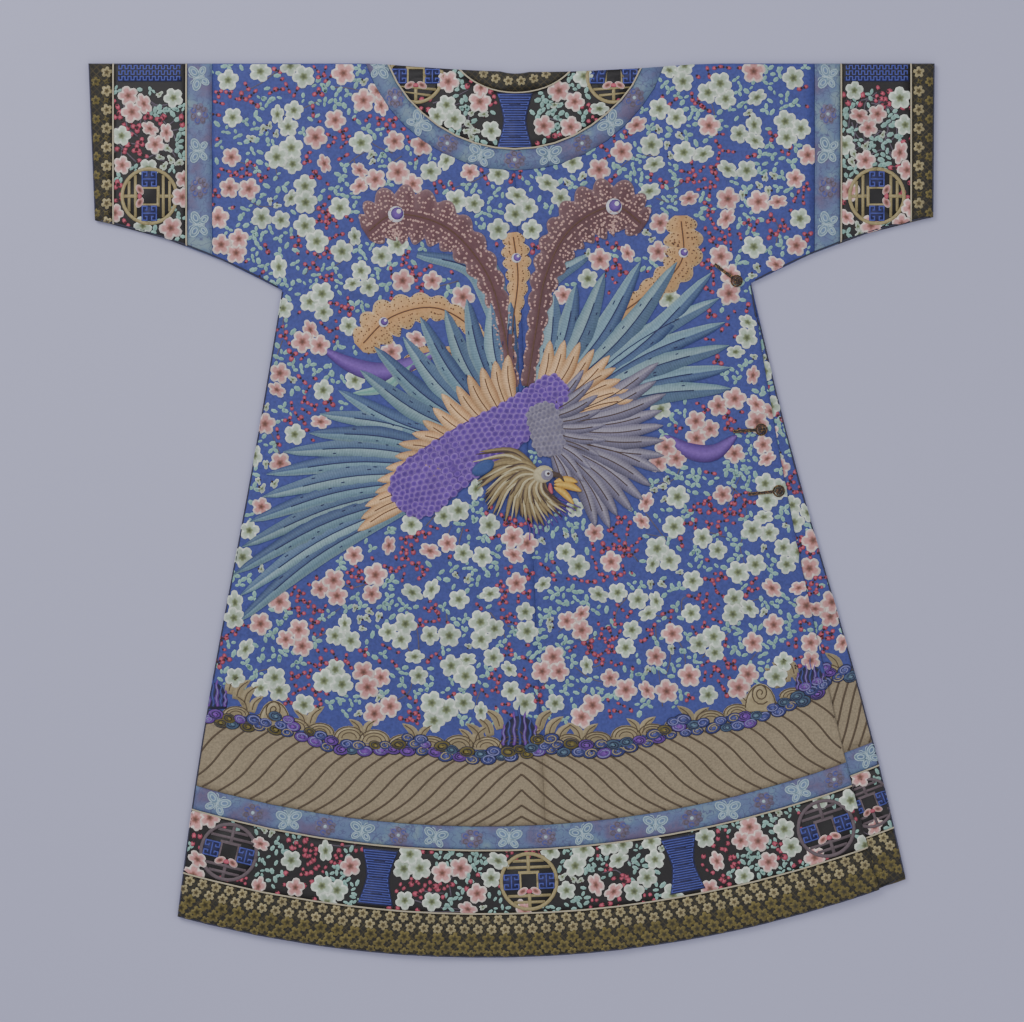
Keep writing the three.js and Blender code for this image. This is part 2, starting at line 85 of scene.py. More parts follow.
GROUND_NODES = ("back_left", "back_right")
FRONT_NODES = ("front_left", "front_right")
BROCADE_NODES = ("neck_brocade", "cuff_brocade_left", "cuff_brocade_right", "hem_brocade", "lapel_brocade")
GOLD_NODES = ("neck_gold", "cuff_gold_left", "cuff_gold_right", "hem_gold", "lapel_gold")
RIBBON_NODES = ("neck_ribbon", "cuff_ribbon_left", "cuff_ribbon_right", "hem_ribbon", "lapel_ribbon")

# Soft creases of the back, pressed in by folding: place, direction in degrees, half length and width, height.
CREASES = (
    # x, y, turn, long, wide, high
    (-250, -330, 96, 180, 9, 0.7),
    (-95, -120, 88, 240, 10, -0.6),
    (120, -420, 84, 160, 8, 0.8),
    (255, -180, 104, 210, 11, -0.7),
    (372, -420, 70, 120, 8, 0.6),
    (-410, 560, 168, 120, 9, 0.8),
    (-300, 420, 146, 150, 12, -0.7),
    (330, 470, 34, 150, 11, 0.8),
    (520, 520, 14, 110, 9, -0.6),
    (-20, 470, 4, 170, 12, 0.6),
    (-330, 230, 106, 120, 9, 0.7),
    (350, 210, 78, 110, 9, -0.6),
    (-380, -600, 100, 70, 8, 0.9),
    (-230, -630, 84, 60, 7, -0.7),
    (-20, -640, 96, 75, 8, 0.9),
    (190, -630, 80, 65, 8, -0.8),
    (340, -590, 72, 70, 8, 0.8),
    (500, -560, 66, 60, 7, 0.7),
)


def lerp(a, b, t):
    return a + (b - a) * t


def point_between(a, b, t):
    return lerp(a[0], b[0], t), lerp(a[1], b[1], t)


def polar(far, turn, x=0.0, y=0.0):
    """The point that far from x, y in the direction of turn."""
    return x + far * math.cos(turn), y + far * math.sin(turn)


def left_of(direction):
    return Vector((-direction.y, direction.x))


def cross(x, y, reach):
    """Four points round a place."""
    return (x + reach, y), (x - reach, y), (x, y + reach), (x, y - reach)


def farthest(holds, reach, rounds):
    """How far from 0 towards reach it still holds, by halving."""
    inside, outside = 0.0, reach
    for _ in range(rounds):
        t = (inside + outside) / 2
        inside, outside = (t, outside) if holds(t) else (inside, t)
    return inside


def linear(colour):
    """A display colour of 0 to 255 as the linear value that a shader takes."""
    def channel(v):
        v /= 255
        return v / 12.92 if v <= 0.04045 else ((v + 0.055) / 1.055) ** 2.4
    return tuple(channel(v) for v in colour) + (1.0,)


def above_hem(x, height):
    return HEM_CENTRE_Y - math.sqrt((HEM_RADIUS - height) ** 2 - (x - HEM_X) ** 2)


def hem_height(x, y):
    return HEM_RADIUS - math.hypot(x - HEM_X, y - HEM_CENTRE_Y)


def on_hem(along, height):
    """Point and turn on the arc at that height above the hem, along millimetres from its lowest point."""
    angle = along / (HEM_RADIUS - height)
    radius = HEM_RADIUS - height
    return HEM_X + radius * math.sin(angle), HEM_CENTRE_Y - radius * math.cos(angle), angle


def on_neck(along, radius):
    angle = along / radius
    return NECK_X + radius * math.sin(angle), NECK_Y - radius * math.cos(angle), angle


def through(points, count):
    """A smooth path of count points through the given ones."""
    pts = [Vector(p).to_2d() for p in points]
    pts = [pts[0] * 2 - pts[1], *pts, pts[-1] * 2 - pts[-2]]
    spans = len(points) - 1
    path = []
    for i in range(count):
        s = i / (count - 1) * spans
        k = min(int(s), spans - 1)
        t = s - k
        a, b, c, d = pts[k:k + 4]
        path.append(0.5 * (2 * b + (c - a) * t + (2 * a - 5 * b + 4 * c - d) * t * t
                           + (3 * b - 3 * c + d - a) * t ** 3))
    return path


def ellipse(wide, tall, count):
    turns = (math.tau * i / count for i in range(count + 1))
    return [(wide * math.cos(a), tall * math.sin(a)) for a in turns]


def any_turn():
    """A direction at random."""
    return RNG.uniform(0, 6.3)


def turns_round(count, stray):
    """Directions spread evenly from a random first one, each up to stray off its own."""
    start = RNG.uniform(0, math.tau)
    for k in range(count):
        yield start + math.tau * k / count + RNG.uniform(-stray, stray)


def add_object(name, data):
    thing = bpy.data.objects.new(name, data)
    bpy.context.scene.collection.objects.link(thing)
    return thing


def add_piece(name, mesh, slot, node=None):
    """The mesh as a piece of the robe, in place of the node if one is given."""
    piece = add_object(name, mesh)
    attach(piece, "root")
    if node:
        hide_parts(node)
    return piece


# ---- Settings that a user would change ----
class RobeSizes(bpy.types.PropertyGroup):
    shell: FloatProperty(name="Silk thickness", default=0.0014, unit="LENGTH",
                         description="Thickness of the cloth where it is modelled as a thin shell")
    cell: FloatProperty(name="Cloth cell", default=0.018, unit="LENGTH",
                        description="Largest edge of the cloth's mesh")
    relief: FloatProperty(name="Stitch relief", default=0.0006, unit="LENGTH",
                          description="Height of a satin-stitched motif above the cloth")
    blossom: FloatProperty(name="Blossom size", default=0.036, unit="LENGTH",
                           description="Diameter of a plum blossom on the ground silk")
    spacing: FloatProperty(name="Blossom spacing", default=0.055, unit="LENGTH",
                           description="Least distance between two clusters of blossoms")


def colour_property(name, value):
    return FloatVectorProperty(name=name, description=f"Display colour of the {name.lower()}",
                               subtype="COLOR_GAMMA", default=[v / 255 for v in value], min=0, max=1)


class RobeColours(bpy.types.PropertyGroup):
    ground: colour_property("Ground silk", (57, 66, 138))
    brocade: colour_property("Border silk", (24, 20, 23))
    gold: colour_property("Gold brocade", (19, 16, 9))
    ribbon: colour_property("Woven ribbon", (92, 104, 146))
    water: colour_property("Gold-thread water", (142, 128, 104))
    piping: colour_property("Piping", (176, 166, 142))
    cord: colour_property("Fastening cord", (30, 26, 24))
    floor: colour_property("Floor", (184, 184, 214))


def sizes():
    return bpy.context.scene.robe_sizes


def chosen(name):
    return [v * 255 for v in getattr(bpy.context.scene.robe_colours, name)]


# ---- Materials ----
THREAD_SCALE = 520.0  # bands of 0.6 mm, the width of a laid silk thread
WEAVE_SCALE = 780.0  # bands of 0.4 mm, the pitch of the ground's weave
TWIST_SCALE = 260.0  # bands of 1.2 mm, the lay of the piping's cord
THREAD_DEPTH, WEAVE_DEPTH, TWIST_DEPTH = 0.0003, 0.0002, 0.0004
UNDER_CLOUDS = 12  # how far the couched gold goes on behind the clouds


class Shading:
    """A Principled material, with one call for each node and its links."""

    def __init__(self, name, roughness, sheen, metallic=0.0):
        self.material = bpy.data.materials.new(name)
        self.material.use_nodes = True
        self.nodes = self.material.node_tree.nodes
        self.links = self.material.node_tree.links
        self.shader = self.nodes["Principled BSDF"]
        values = {"Roughness": roughness, "Sheen Weight": sheen, "Sheen Roughness": 0.4, "Metallic": metallic}
        for key, value in values.items():
            self.shader.inputs[key].default_value = value

    def add(self, kind, settings=None, **inputs):
        node = self.nodes.new(kind)
        for key, value in (settings or {}).items():
            setattr(node, key, value)
        for key, value in inputs.items():
            socket = node.inputs[int(key[1:])] if key[0] == "i" and key[1:].isdigit() else node.inputs[key]
            if isinstance(value, bpy.types.NodeSocket):
                self.links.new(value, socket)
            else:
                socket.default_value = value
        return node

    def place(self, turn=0.0):
        place = self.add("ShaderNodeTexCoord").outputs["Object"]
        if turn:
            place = self.add("ShaderNodeMapping", Vector=place, Rotation=(0, 0, turn)).outputs["Vector"]
        return place

    def attribute(self, name):
        return self.add("ShaderNodeAttribute", {"attribute_name": name}).outputs["Fac"]

    def math(self, operation, a, b=0.0):
        return self.add("ShaderNodeMath", {"operation": operation}, i0=a, i1=b).outputs[0]

    def noise(self, scale, detail=2.0):
        return self.add("ShaderNodeTexNoise", Vector=self.place(), Scale=scale, Detail=detail).outputs["Fac"]

    def waves(self, scale, axis="X", distortion=0.6, turn=0.0):
        settings = {"wave_type": "BANDS", "bands_direction": axis}
        node = self.add("ShaderNodeTexWave", settings, Vector=self.place(turn), Scale=scale,
                        Distortion=distortion)
        return node.outputs["Fac"]

    def ramp(self, factor, stops):
        node = self.add("ShaderNodeValToRGB", Fac=factor)
        elements = node.color_ramp.elements
        while len(elements) < len(stops):
            elements.new(0.5)
        for element, (position, colour) in zip(elements, stops):
            element.position = position
            element.color = linear(colour)
        return node.outputs["Color"]

    def between(self, factor, low, high):
        """The factor from 0 at low to 1 at high, and no further."""
        return self.add("ShaderNodeMapRange", {"clamp": True}, i0=factor, i1=low, i2=high).outputs[0]

    def blend(self, factor, a, b):
        return self.add("ShaderNodeMix", {"data_type": "RGBA"}, i0=factor, i6=a, i7=b).outputs[2]

    def shaded(self, colour, factor, depth):
        """The colour, darker and lighter by depth as the factor goes from 0 to 1."""
        value = self.math("ADD", self.math("MULTIPLY", factor, 2 * depth), 1 - depth)
        return self.add("ShaderNodeHueSaturation", Value=value, Color=colour).outputs["Color"]

    def uneven(self, colour, scale, detail, depth):
        """The colour, darker and lighter by depth in blotches of that scale."""
        return self.shaded(colour, self.noise(scale, detail), depth)

    def finish(self, colour, height=None, strength=0.3, distance=THREAD_DEPTH):
        self.links.new(colour, self.shader.inputs["Base Color"])
        if height is not None:
            bump = self.add("ShaderNodeBump", Strength=strength, Distance=distance, Height=height)
            self.links.new(bump.outputs["Normal"], self.shader.inputs["Normal"])
        return self.material


def weave(shading):
    """The crossing threads of woven silk, as a height."""
    return shading.math("ADD", shading.waves(WEAVE_SCALE, "X"), shading.waves(WEAVE_SCALE, "Y"))


def border_silk(name, colour):
    shading = Shading(name, 0.5, sheen=0.3)
    worn = shading.uneven(linear(colour), 26.0, 4.0, 0.3)
    worn = shading.uneven(worn, 330.0, 3.0, 0.25)
    return shading.finish(worn, weave(shading), 0.25, WEAVE_DEPTH)


def gold_brocade(name, colour):
    """Dark silk with a net of fine gold thread."""
    shading = Shading(name, 0.45, sheen=0.25)
    lines = [shading.waves(40.0, "X", 1.2, turn) for turn in (0.79, -0.79)]
    net = shading.between(shading.math("MAXIMUM", *lines), 0.9, 1.0)
    gold = shading.ramp(shading.noise(60.0), ((0.35, (54, 46, 18)), (0.65, (78, 68, 34))))
    netted = shading.blend(net, linear(colour), gold)
    flecks = shading.between(shading.noise(300.0, 3.0), 0.58, 0.68)
    flecked = shading.blend(flecks, netted, linear((64, 56, 30)))
    return shading.finish(flecked, weave(shading), 0.4)


def ribbon_silk(name, colour):
    """Ribbon woven in drifts of blue, mauve and sea green, with small scrolls."""
    shading = Shading(name, 0.5, sheen=0.3)
    drifts = ((0.36, (98, 88, 122)), (0.46, colour), (0.56, (96, 118, 150)), (0.66, (122, 142, 154)))
    drift = shading.ramp(shading.noise(19.0, 3.0), drifts)
    contour = shading.math("ABSOLUTE", shading.math("SUBTRACT", shading.noise(88.0, 1.0), 0.5))
    scrolled = shading.blend(shading.between(contour, 0.0, 0.035), linear((80, 84, 124)), drift)
    worn = shading.uneven(scrolled, 420.0, 3.0, 0.2)
    return shading.finish(worn, weave(shading), 0.3, WEAVE_DEPTH)


def with_borders(shading, colour, reach):
    """The colour, with plain bands in place of the borders at hem and cuffs."""
    parts = shading.add("ShaderNodeSeparateXYZ", Vector=shading.place()).outputs
    above = shading.math("GREATER_THAN", parts["Y"], 0.0)
    across = shading.math("MULTIPLY", shading.math("ABSOLUTE", parts["X"]), above)
    bands = (
        (RIBBON_TOP, CUFF_RIBBON, chosen("ribbon")),
        (BROCADE_TOP, CUFF_BROCADE, chosen("brocade")),
        (GOLD_TOP, CUFF_GOLD, (88, 78, 48)),
    )
    for height, cuff, dye in bands:
        hem = shading.math("GREATER_THAN", reach, (HEM_RADIUS - height) * MM)
        sleeve = shading.math("GREATER_THAN", across, cuff * MM)
        colour = shading.blend(shading.math("MAXIMUM", hem, sleeve), colour, linear(dye))
    return shading.uneven(colour, 300.0, 3.0, 0.25)


def ground_silk(name, lift, borders=False):
    """Blue silk above, and rows of couched gold thread below the clouds, lift millimetres higher."""
    shading = Shading(name, 0.55, sheen=0.3)
    flat = shading.add("ShaderNodeVectorMath", {"operation": "MULTIPLY"}, i0=shading.place(), i1=(1, 1, 0))
    centre = (HEM_X * MM, HEM_CENTRE_Y * MM, 0)
    reach = shading.add("ShaderNodeVectorMath", {"operation": "DISTANCE"}, i0=flat.outputs[0], i1=centre)
    edge = (HEM_RADIUS - lift - WATER_TOP - UNDER_CLOUDS) * MM
    water = shading.math("GREATER_THAN", reach.outputs["Value"], edge)
    blue = shading.uneven(linear(chosen("ground")), 9.0, 4.0, 0.12)
    blue = shading.uneven(blue, 240.0, 4.0, 0.55)
    sand = shading.uneven(linear(chosen("water")), 24.0, 3.0, 0.16)
    sand = shading.uneven(sand, 360.0, 4.0, 0.55)
    colour = shading.blend(water, blue, sand)
    if borders:
        colour = with_borders(shading, colour, reach.outputs["Value"])
    return shading.finish(colour, weave(shading), 0.3, WEAVE_DEPTH)


def cord_silk(name, colour):
    """Dark cord with worn gold and russet threads in it."""
    shading = Shading(name, 0.5, sheen=0.3)
    stops = ((0.0, colour), (0.54, colour), (0.6, (118, 66, 44)), (0.66, (150, 124, 66)))
    speck = shading.ramp(shading.noise(520.0, 2.0), stops)
    return shading.finish(speck, shading.waves(THREAD_SCALE, "DIAGONAL", 1.0), strength=0.5)


def thread(name, *stops, roughness=0.5, metallic=0.0, field="reach", barbs=0.0):
    """Laid silk thread. Its colours run over the field, such as from a motif's middle to its rim."""
    shading = Shading(name, roughness, 0.35, metallic)
    threads = shading.waves(THREAD_SCALE, "DIAGONAL", 3.0)
    if len(stops) == 1:
        colour = linear(stops[0][1])
    else:
        dyed = shading.ramp(shading.attribute(field), stops)
        colour = shading.shaded(dyed, shading.attribute("tone"), 0.13)
    if barbs:
        run = shading.math("MULTIPLY", shading.attribute("along"), math.tau / barbs)
        lean = shading.math("MULTIPLY", shading.attribute("reach"), 5.0)
        stripe = shading.math("SINE", shading.math("SUBTRACT", run, lean))
        colour = shading.shaded(colour, shading.math("MULTIPLY", shading.math("ADD", stripe, 1.0), 0.5), 0.1)
    colour = shading.uneven(colour, 300.0, 4.0, 0.34)
    return shading.finish(colour, threads, strength=0.4)


# Each thread: its name, then its colours from a motif's middle to its rim. Those of the feathers run
# from one side to the other.
THREADS = (
    ("pink_petal", (0.0, (84, 50, 44)), (0.16, (120, 78, 68)), (0.3, (158, 106, 98)),
     (0.42, (198, 136, 134)), (0.72, (204, 148, 146)), (0.86, (222, 190, 184)), (0.96, (234, 222, 214))),
    ("white_petal", (0.0, (62, 70, 44)), (0.16, (94, 104, 70)), (0.3, (124, 134, 100)),
     (0.42, (162, 178, 156)), (0.72, (176, 192, 174)), (0.86, (204, 216, 202)), (0.96, (230, 236, 224))),
    ("bud_red", (0.0, (200, 96, 114)), (1.0, (150, 54, 78))),
    ("calyx", (0.0, (52, 20, 26))),
    ("mint_leaf", (0.0, (104, 156, 148)), (0.9, (158, 196, 186))),
    ("twig", (0.0, (92, 82, 96))),
    ("gold_bright", (0.0, (40, 32, 16)), (0.3, (96, 84, 54)), (0.5, (150, 138, 100)), (1.0, (178, 166, 126))),
    # The same gold made darker: painted shade on the rows towards a band's edge, and the stars.
    ("gold_dim", (0.0, (22, 18, 8)), (0.3, (64, 56, 24)), (0.5, (98, 88, 44)), (1.0, (122, 110, 60))),
    ("water_line", (0.0, (80, 65, 47))),
    ("water_sand", (0.0, (140, 126, 96)), (0.6, (150, 136, 104)), (1.0, (172, 158, 126))),
    ("cloud_purple", (0.0, (130, 74, 176)), (0.45, (84, 40, 128)), (1.0, (104, 56, 152))),
    ("cloud_blue", (0.0, (82, 88, 160)), (0.45, (34, 38, 92)), (1.0, (58, 64, 132))),
    ("cloud_teal", (0.0, (104, 132, 150)), (0.45, (48, 66, 96)), (1.0, (72, 96, 124))),
    ("cloud_ochre", (0.0, (140, 126, 56)), (0.45, (74, 66, 22)), (1.0, (110, 98, 40))),
    ("cloud_line", (0.0, (24, 24, 58))),
    ("cloud_pale", (0.0, (124, 124, 172))),
    ("black_silk", (0.0, (21, 18, 21))),
    ("fret_blue", (0.0, (70, 78, 160))),
    ("fret_ground", (0.0, (28, 30, 78))),
    ("fret_gold", (0.0, (160, 146, 104))),
    ("fret_mauve", (0.0, (98, 84, 90))),
    ("butterfly", (0.0, (168, 192, 204))),
    ("butterfly_wing", (0.0, (96, 116, 152)), (1.0, (126, 152, 172))),
    ("medallion", (0.0, (120, 110, 136)), (0.6, (96, 88, 118)), (1.0, (116, 110, 138))),
    ("feather_teal", (0.0, (56, 72, 118)), (0.3, (76, 98, 132)), (0.46, (64, 82, 122)),
     (0.56, (116, 146, 162)), (0.8, (104, 134, 152)), (1.0, (132, 158, 168))),
    ("feather_pale", (0.0, (98, 122, 148)), (0.46, (74, 96, 128)), (0.56, (136, 162, 170)),
     (1.0, (112, 142, 156))),
    ("feather_peach", (0.0, (180, 132, 92)), (0.4, (216, 172, 124)), (0.6, (222, 182, 138)),
     (1.0, (196, 152, 108))),
    ("feather_mauve", (0.0, (96, 92, 116)), (0.45, (118, 112, 134)), (0.6, (146, 140, 156)),
     (1.0, (110, 104, 126))),
    ("scale_purple", (0.0, (76, 42, 132)), (0.45, (92, 54, 148)), (0.62, (116, 78, 166)),
     (1.0, (146, 114, 192))),
    ("scale_mauve", (0.0, (96, 92, 114)), (0.5, (118, 112, 134)), (1.0, (146, 140, 156))),
    ("body_purple", (0.0, (94, 60, 144))),
    ("hackle_gold", (0.0, (150, 132, 92)), (1.0, (112, 94, 66))),
    ("hackle_pale", (0.0, (188, 176, 140))),
    ("hackle_dark", (0.0, (72, 54, 46))),
    ("plume_plum", (0.0, (92, 58, 64)), (0.7, (106, 72, 78)), (0.92, (124, 92, 98)), (1.0, (148, 118, 120))),
    ("plume_ochre", (0.0, (184, 136, 88)), (0.75, (200, 158, 108)), (1.0, (214, 182, 138))),
    ("plume_line", (0.0, (92, 62, 44))),
    ("plume_dot", (0.0, (192, 152, 144))),
    ("pearl", (0.0, (214, 214, 224))),
    ("crest_yellow", (0.0, (214, 176, 84)), (1.0, (180, 132, 52))),
    ("ribbon_purple", (0.0, (116, 80, 164)), (1.0, (76, 48, 122))),
    ("patch_blue", (0.0, (54, 76, 134))),
    # Dark thread along the open edges: a binding, and also painted shade along the cloth's edge.
    ("edge_thread", (0.0, (44, 44, 66))),
)
THREAD_NAMES = [row[0] for row in THREADS]
METAL_THREADS = ("gold_bright", "gold_dim", "fret_gold", "water_sand")
BARBS = {"feather_teal": 4.0, "feather_pale": 4.0, "feather_peach": 3.6, "feather_mauve": 4.0}


def thread_materials():
    for name, *stops in THREADS:
        if name not in bpy.data.materials:
            metal = name in METAL_THREADS
            thread(name, *stops, roughness=0.42 if metal else 0.5, metallic=0.2 if metal else 0.0,
                   field="side" if name.startswith("feather") else "reach", barbs=BARBS.get(name, 0.0))
    return [bpy.data.materials[name] for name in THREAD_NAMES]


# ---- Cloth ----
MERGE_DISTANCE = 2e-5  # metres; the corners of a solid that lie closer are one
SIDE_NORMAL = 0.05  # a face whose normal leans less than this up or down is a side wall
JOIN_LEAN, JOIN_SKEW = 0.6, 3.1  # how far two triangles may lean and skew and still become one face
CUTS, SMOOTHINGS = 4, 2  # how often long edges are halved and the mesh is smoothed
FRONT_ROOM = 1.2  # room for the front's embroidery, as a share of its relief
LOOK_FROM = 100.0  # how far off the cloth its height is looked up from


def crease(x, y):
    lift = 0.0
    for cx, cy, turn, long, wide, high in CREASES:
        angle = math.radians(turn)
        u = (x - cx) * math.cos(angle) + (y - cy) * math.sin(angle)
        v = (y - cy) * math.cos(angle) - (x - cx) * math.sin(angle)
        lift += high * math.exp(-((u / long) ** 2) - (v / wide) ** 2)
    return lift


def skin(node, upper=True):
    """The node's upper or lower face as a fine mesh, with its corners shared."""
    bm = bmesh.new()
    bm.from_mesh(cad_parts[node].data)
    bmesh.ops.remove_doubles(bm, verts=bm.verts, dist=MERGE_DISTANCE)
    away = [f for f in bm.faces if (f.normal.z < SIDE_NORMAL if upper else f.normal.z > -SIDE_NORMAL)]
    bmesh.ops.delete(bm, geom=away, context="FACES")
    bmesh.ops.join_triangles(bm, faces=bm.faces, angle_face_threshold=JOIN_LEAN,
                             angle_shape_threshold=JOIN_SKEW)
    for _ in range(CUTS):
        long_edges = [e for e in bm.edges if e.calc_length() > sizes().cell]
        if long_edges:
            bmesh.ops.subdivide_edges(bm, edges=long_edges, cuts=1, use_grid_fill=True)
    inner = [v for v in bm.verts if not v.is_boundary]
    for _ in range(SMOOTHINGS):
        bmesh.ops.smooth_vert(bm, verts=inner, factor=0.5, use_axis_z=True)
    for v in bm.verts:
        if upper and not node.startswith("lapel"):
            v.co.z += crease(v.co.x / MM, v.co.y / MM) * MM
        elif not upper:
            v.co.z += sizes().relief * FRONT_ROOM
    return bm


class Surface:
    """The cloth under a group of motifs, to look up its height in millimetres."""

    def __init__(self, meshes, upper=True):
        joined = bmesh.new()
        for mesh in meshes:
            joined.from_mesh(mesh)
        bmesh.ops.scale(joined, vec=(1 / MM,) * 3, verts=joined.verts)
        self.tree = BVHTree.FromBMesh(joined)
        self.box = [f([v.co[k] for v in joined.verts]) for k in (0, 1) for f in (min, max)]
        self.start = LOOK_FROM if upper else -LOOK_FROM
        self.upper = upper
        joined.free()

    def height(self, x, y):
        hit = self.tree.ray_cast(Vector((x, y, self.start)), Vector((0, 0, -self.start)))
        return None if hit[0] is None else hit[0].z

    def covers(self, x, y):
        return self.height(x, y) is not None


surfaces = {}
upper_meshes = []


def make_cloth(node, material, slot, flat=None, upper=True, rests_on=()):
    """A thin shell on the node's own form, which replaces it."""
    bm = skin(node, upper)
    mesh = bpy.data.meshes.new(f"silk_{node}")
    bm.to_mesh(mesh)
    area = sum(f.calc_area() for f in bm.faces)
    bm.free()
    mesh.materials.append(material)
    mesh.shade_smooth()
    if upper:
        upper_meshes.append(mesh)
    piece = add_piece(f"silk_{node}", mesh, slot, node)
    solidify = piece.modifiers.new("Thickness", "SOLIDIFY")
    solidify.thickness = sizes().shell
    solidify.offset = -1
    solidify.use_even_offset = False
    low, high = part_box(node)
    list(rests_on)
    return mesh


# ---- Motifs ----
SINK = -0.4  # how far the underside of a motif goes into the cloth
MITRE_LIMIT = 0.5  # keeps a sharp bend of a ribbon from growing a spike
PRESSED = 0.45  # the share of its height that the front's embroidery keeps
UNDER_GAP = 0.02  # the least height of the front's embroidery above what it lies on


def new_motif():
    bm = bmesh.new()
    for layer in ("reach", "tone", "side", "along"):
        bm.verts.layers.float.new(layer)
    return bm


def paint(faces, name):
    for face in faces:
        face.material_index = THREAD_NAMES.index(name)
        face.smooth = True


def once_each(items):
    """The items in their order, each one once."""
    return list(dict.fromkeys(items))


def island(vert):
    """Every point that is joined to this one."""
    found = {vert: True}
    edge = [vert]
    while edge:
        for e in edge.pop().link_edges:
            for v in e.verts:
                if v not in found:
                    found[v] = True
                    edge.append(v)
    return list(found)


def dome(height):
    """The rings of a plain low dome."""
    return ((1.0, height, 1.0),)


def disc(bm, name, radius, segments, rings, x=0.0, y=0.0, outline=None, squash=1.0, turn=0.0, lift=0.0,
         petals=0):
    """A low closed dome. rings are (share of the radius, height, reach), from its rim to its middle.

    petals keeps the rim's reach along that many lines from the middle, where two petals meet.
    """
    reach = bm.verts.layers.float["reach"]
    made = bmesh.ops.create_circle(bm, cap_ends=True, segments=segments, radius=1.0)["verts"]
    bottom = made[0].link_faces[0]
    for v in made:
        angle = math.atan2(v.co.y, v.co.x)
        far = radius * (outline(angle) if outline else 1.0)
        v.co = Vector((*polar(far, angle), SINK))
        v[reach] = 1.0
    top = bmesh.ops.extrude_face_region(bm, geom=[bottom])["geom"]
    face = next(g for g in top if isinstance(g, bmesh.types.BMFace))
    previous = 1.0
    for k, (share, height, at) in enumerate(rings):
        if k:
            bmesh.ops.inset_individual(bm, faces=[face], thickness=0.0)
        for v in face.verts:
            v.co.x *= share / previous
            v.co.y *= share / previous
            v.co.z = height + lift
            v[reach] = at
            if petals and share > 0.5 and abs(math.sin(petals * math.atan2(v.co.y, v.co.x) / 2)) < 0.05:
                v[reach] = 1.0
        previous = share
    for v in bmesh.ops.poke(bm, faces=[face])["verts"]:
        v.co.z = rings[-1][1] + lift
        v[reach] = 0.0
    linked = island(made[0])
    faces = once_each(f for v in linked for f in v.link_faces)
    bmesh.ops.recalc_face_normals(bm, faces=faces)
    matrix = Matrix.Rotation(turn, 3, "Z") @ Matrix.Diagonal((1, squash, 1))
    bmesh.ops.transform(bm, verts=linked, matrix=Matrix.Translation((x, y, 0)) @ matrix.to_4x4())
    paint(faces, name)


def strip(bm, name, path, width, height=0.5, ridge=False, lift=0.0):
    """A closed flat or ridged ribbon along a path. width is a number or a function of how far along."""
    reach, side_layer, along_layer = (bm.verts.layers.float[n] for n in ("reach", "side", "along"))
    path = [Vector(p).to_2d() for p in path]
    last = len(path) - 1
    wide = width if callable(width) else lambda t: width
    rows = 2 if ridge else 1
    verts = bmesh.ops.create_grid(bm, x_segments=last, y_segments=rows, size=0.5)["verts"]
    sides = []
    run = [0.0]
    for i in range(last + 1):
        before = (path[i] - path[max(i - 1, 0)]).normalized()
        after = (path[min(i + 1, last)] - path[i]).normalized()
        if i == 0:
            before = after
        if i == last:
            after = before
        normal = left_of(before + after).normalized()
        sides.append(normal / max(normal.dot(left_of(before)), MITRE_LIMIT))
        if i:
            run.append(run[-1] + (path[i] - path[i - 1]).length)
    for v in verts:
        i = round((v.co.x + 0.5) * last)
        across = float(round(v.co.y * 2)) if ridge else math.copysign(1.0, v.co.y)
        spot = path[i] + sides[i] * across * wide(i / last) / 2
        v[reach] = abs(across)
        v[side_layer] = (across + 1) / 2
        v[along_layer] = run[i]
        rim = 1.0 if not ridge else lerp(1.0, 0.5, abs(across))
        v.co = Vector((spot.x, spot.y, lift + height * rim))
    faces = once_each(f for v in verts for f in v.link_faces)
    made = bmesh.ops.extrude_face_region(bm, geom=faces)["geom"]
    under = [g for g in made if isinstance(g, bmesh.types.BMVert)]
    for v in under:
        v.co.z = SINK
    faces = once_each(f for v in verts + under for f in v.link_faces)
    bmesh.ops.recalc_face_normals(bm, faces=faces)
    paint(faces, name)


def petal_outline(petals, cleft):
    return lambda angle: 1 - cleft * (1 - abs(math.sin(petals * angle / 2)) ** 0.5)


def upper_half(angle):
    """An outline that is round above and nearly straight below."""
    return min(1.0, 0.16 / -math.sin(angle)) if math.sin(angle) < -0.01 else 1.0


def blossom(name):
    """A five-petalled flower of radius 1 millimetre, seen from the front."""
    bm = new_motif()
    rings = ((1.0, 0.3, 1.0), (0.8, 0.6, 0.8), (0.34, 0.5, 0.34))
    disc(bm, name, 1.0, 20, rings, outline=petal_outline(5, 0.27), petals=5)
    return bm


def small_blossom(name):
    bm = new_motif()
    disc(bm, name, 1.0, 20, ((1.0, 0.2, 1.0), (0.45, 0.55, 0.4)), outline=petal_outline(5, 0.42))
    return bm


def buds(count):
    """Round buds close together, each on its dark calyx."""
    bm = new_motif()
    for turn in turns_round(count, 0.5):
        x, y = polar(RNG.uniform(4.0, 6.6), turn)
        disc(bm, "bud_red", RNG.uniform(3.5, 5.2), 7, dome(0.35), x=x, y=y,
             squash=RNG.uniform(0.66, 0.95), turn=turn)
        disc(bm, "calyx", 1.9, 4, dome(0.6), x=x * 0.4, y=y * 0.4, turn=turn)
    return bm


def leaves(count):
    """Small rounded leaves, loose on their sprig."""
    bm = new_motif()
    for turn in turns_round(count, 0.6):
        x, y = polar(RNG.uniform(3.6, 6.6), turn)
        disc(bm, "mint_leaf", RNG.uniform(3.8, 6.2), 6, dome(0.3), x=x, y=y,
             squash=RNG.uniform(0.48, 0.74), turn=turn + RNG.uniform(-1.0, 1.0))
    return bm


def sprout():
    """A half-open pale blossom from the side."""
    bm = new_motif()
    disc(bm, "white_petal", 8.0, 12, dome(0.3), squash=0.62, outline=petal_outline(3, 0.4))
    disc(bm, "calyx", 1.7, 5, dome(0.7), y=-4.4)
    return bm


def as_mesh(bm, name):
    mesh = bpy.data.meshes.new(name)
    bm.to_mesh(mesh)
    bm.free()
    return mesh


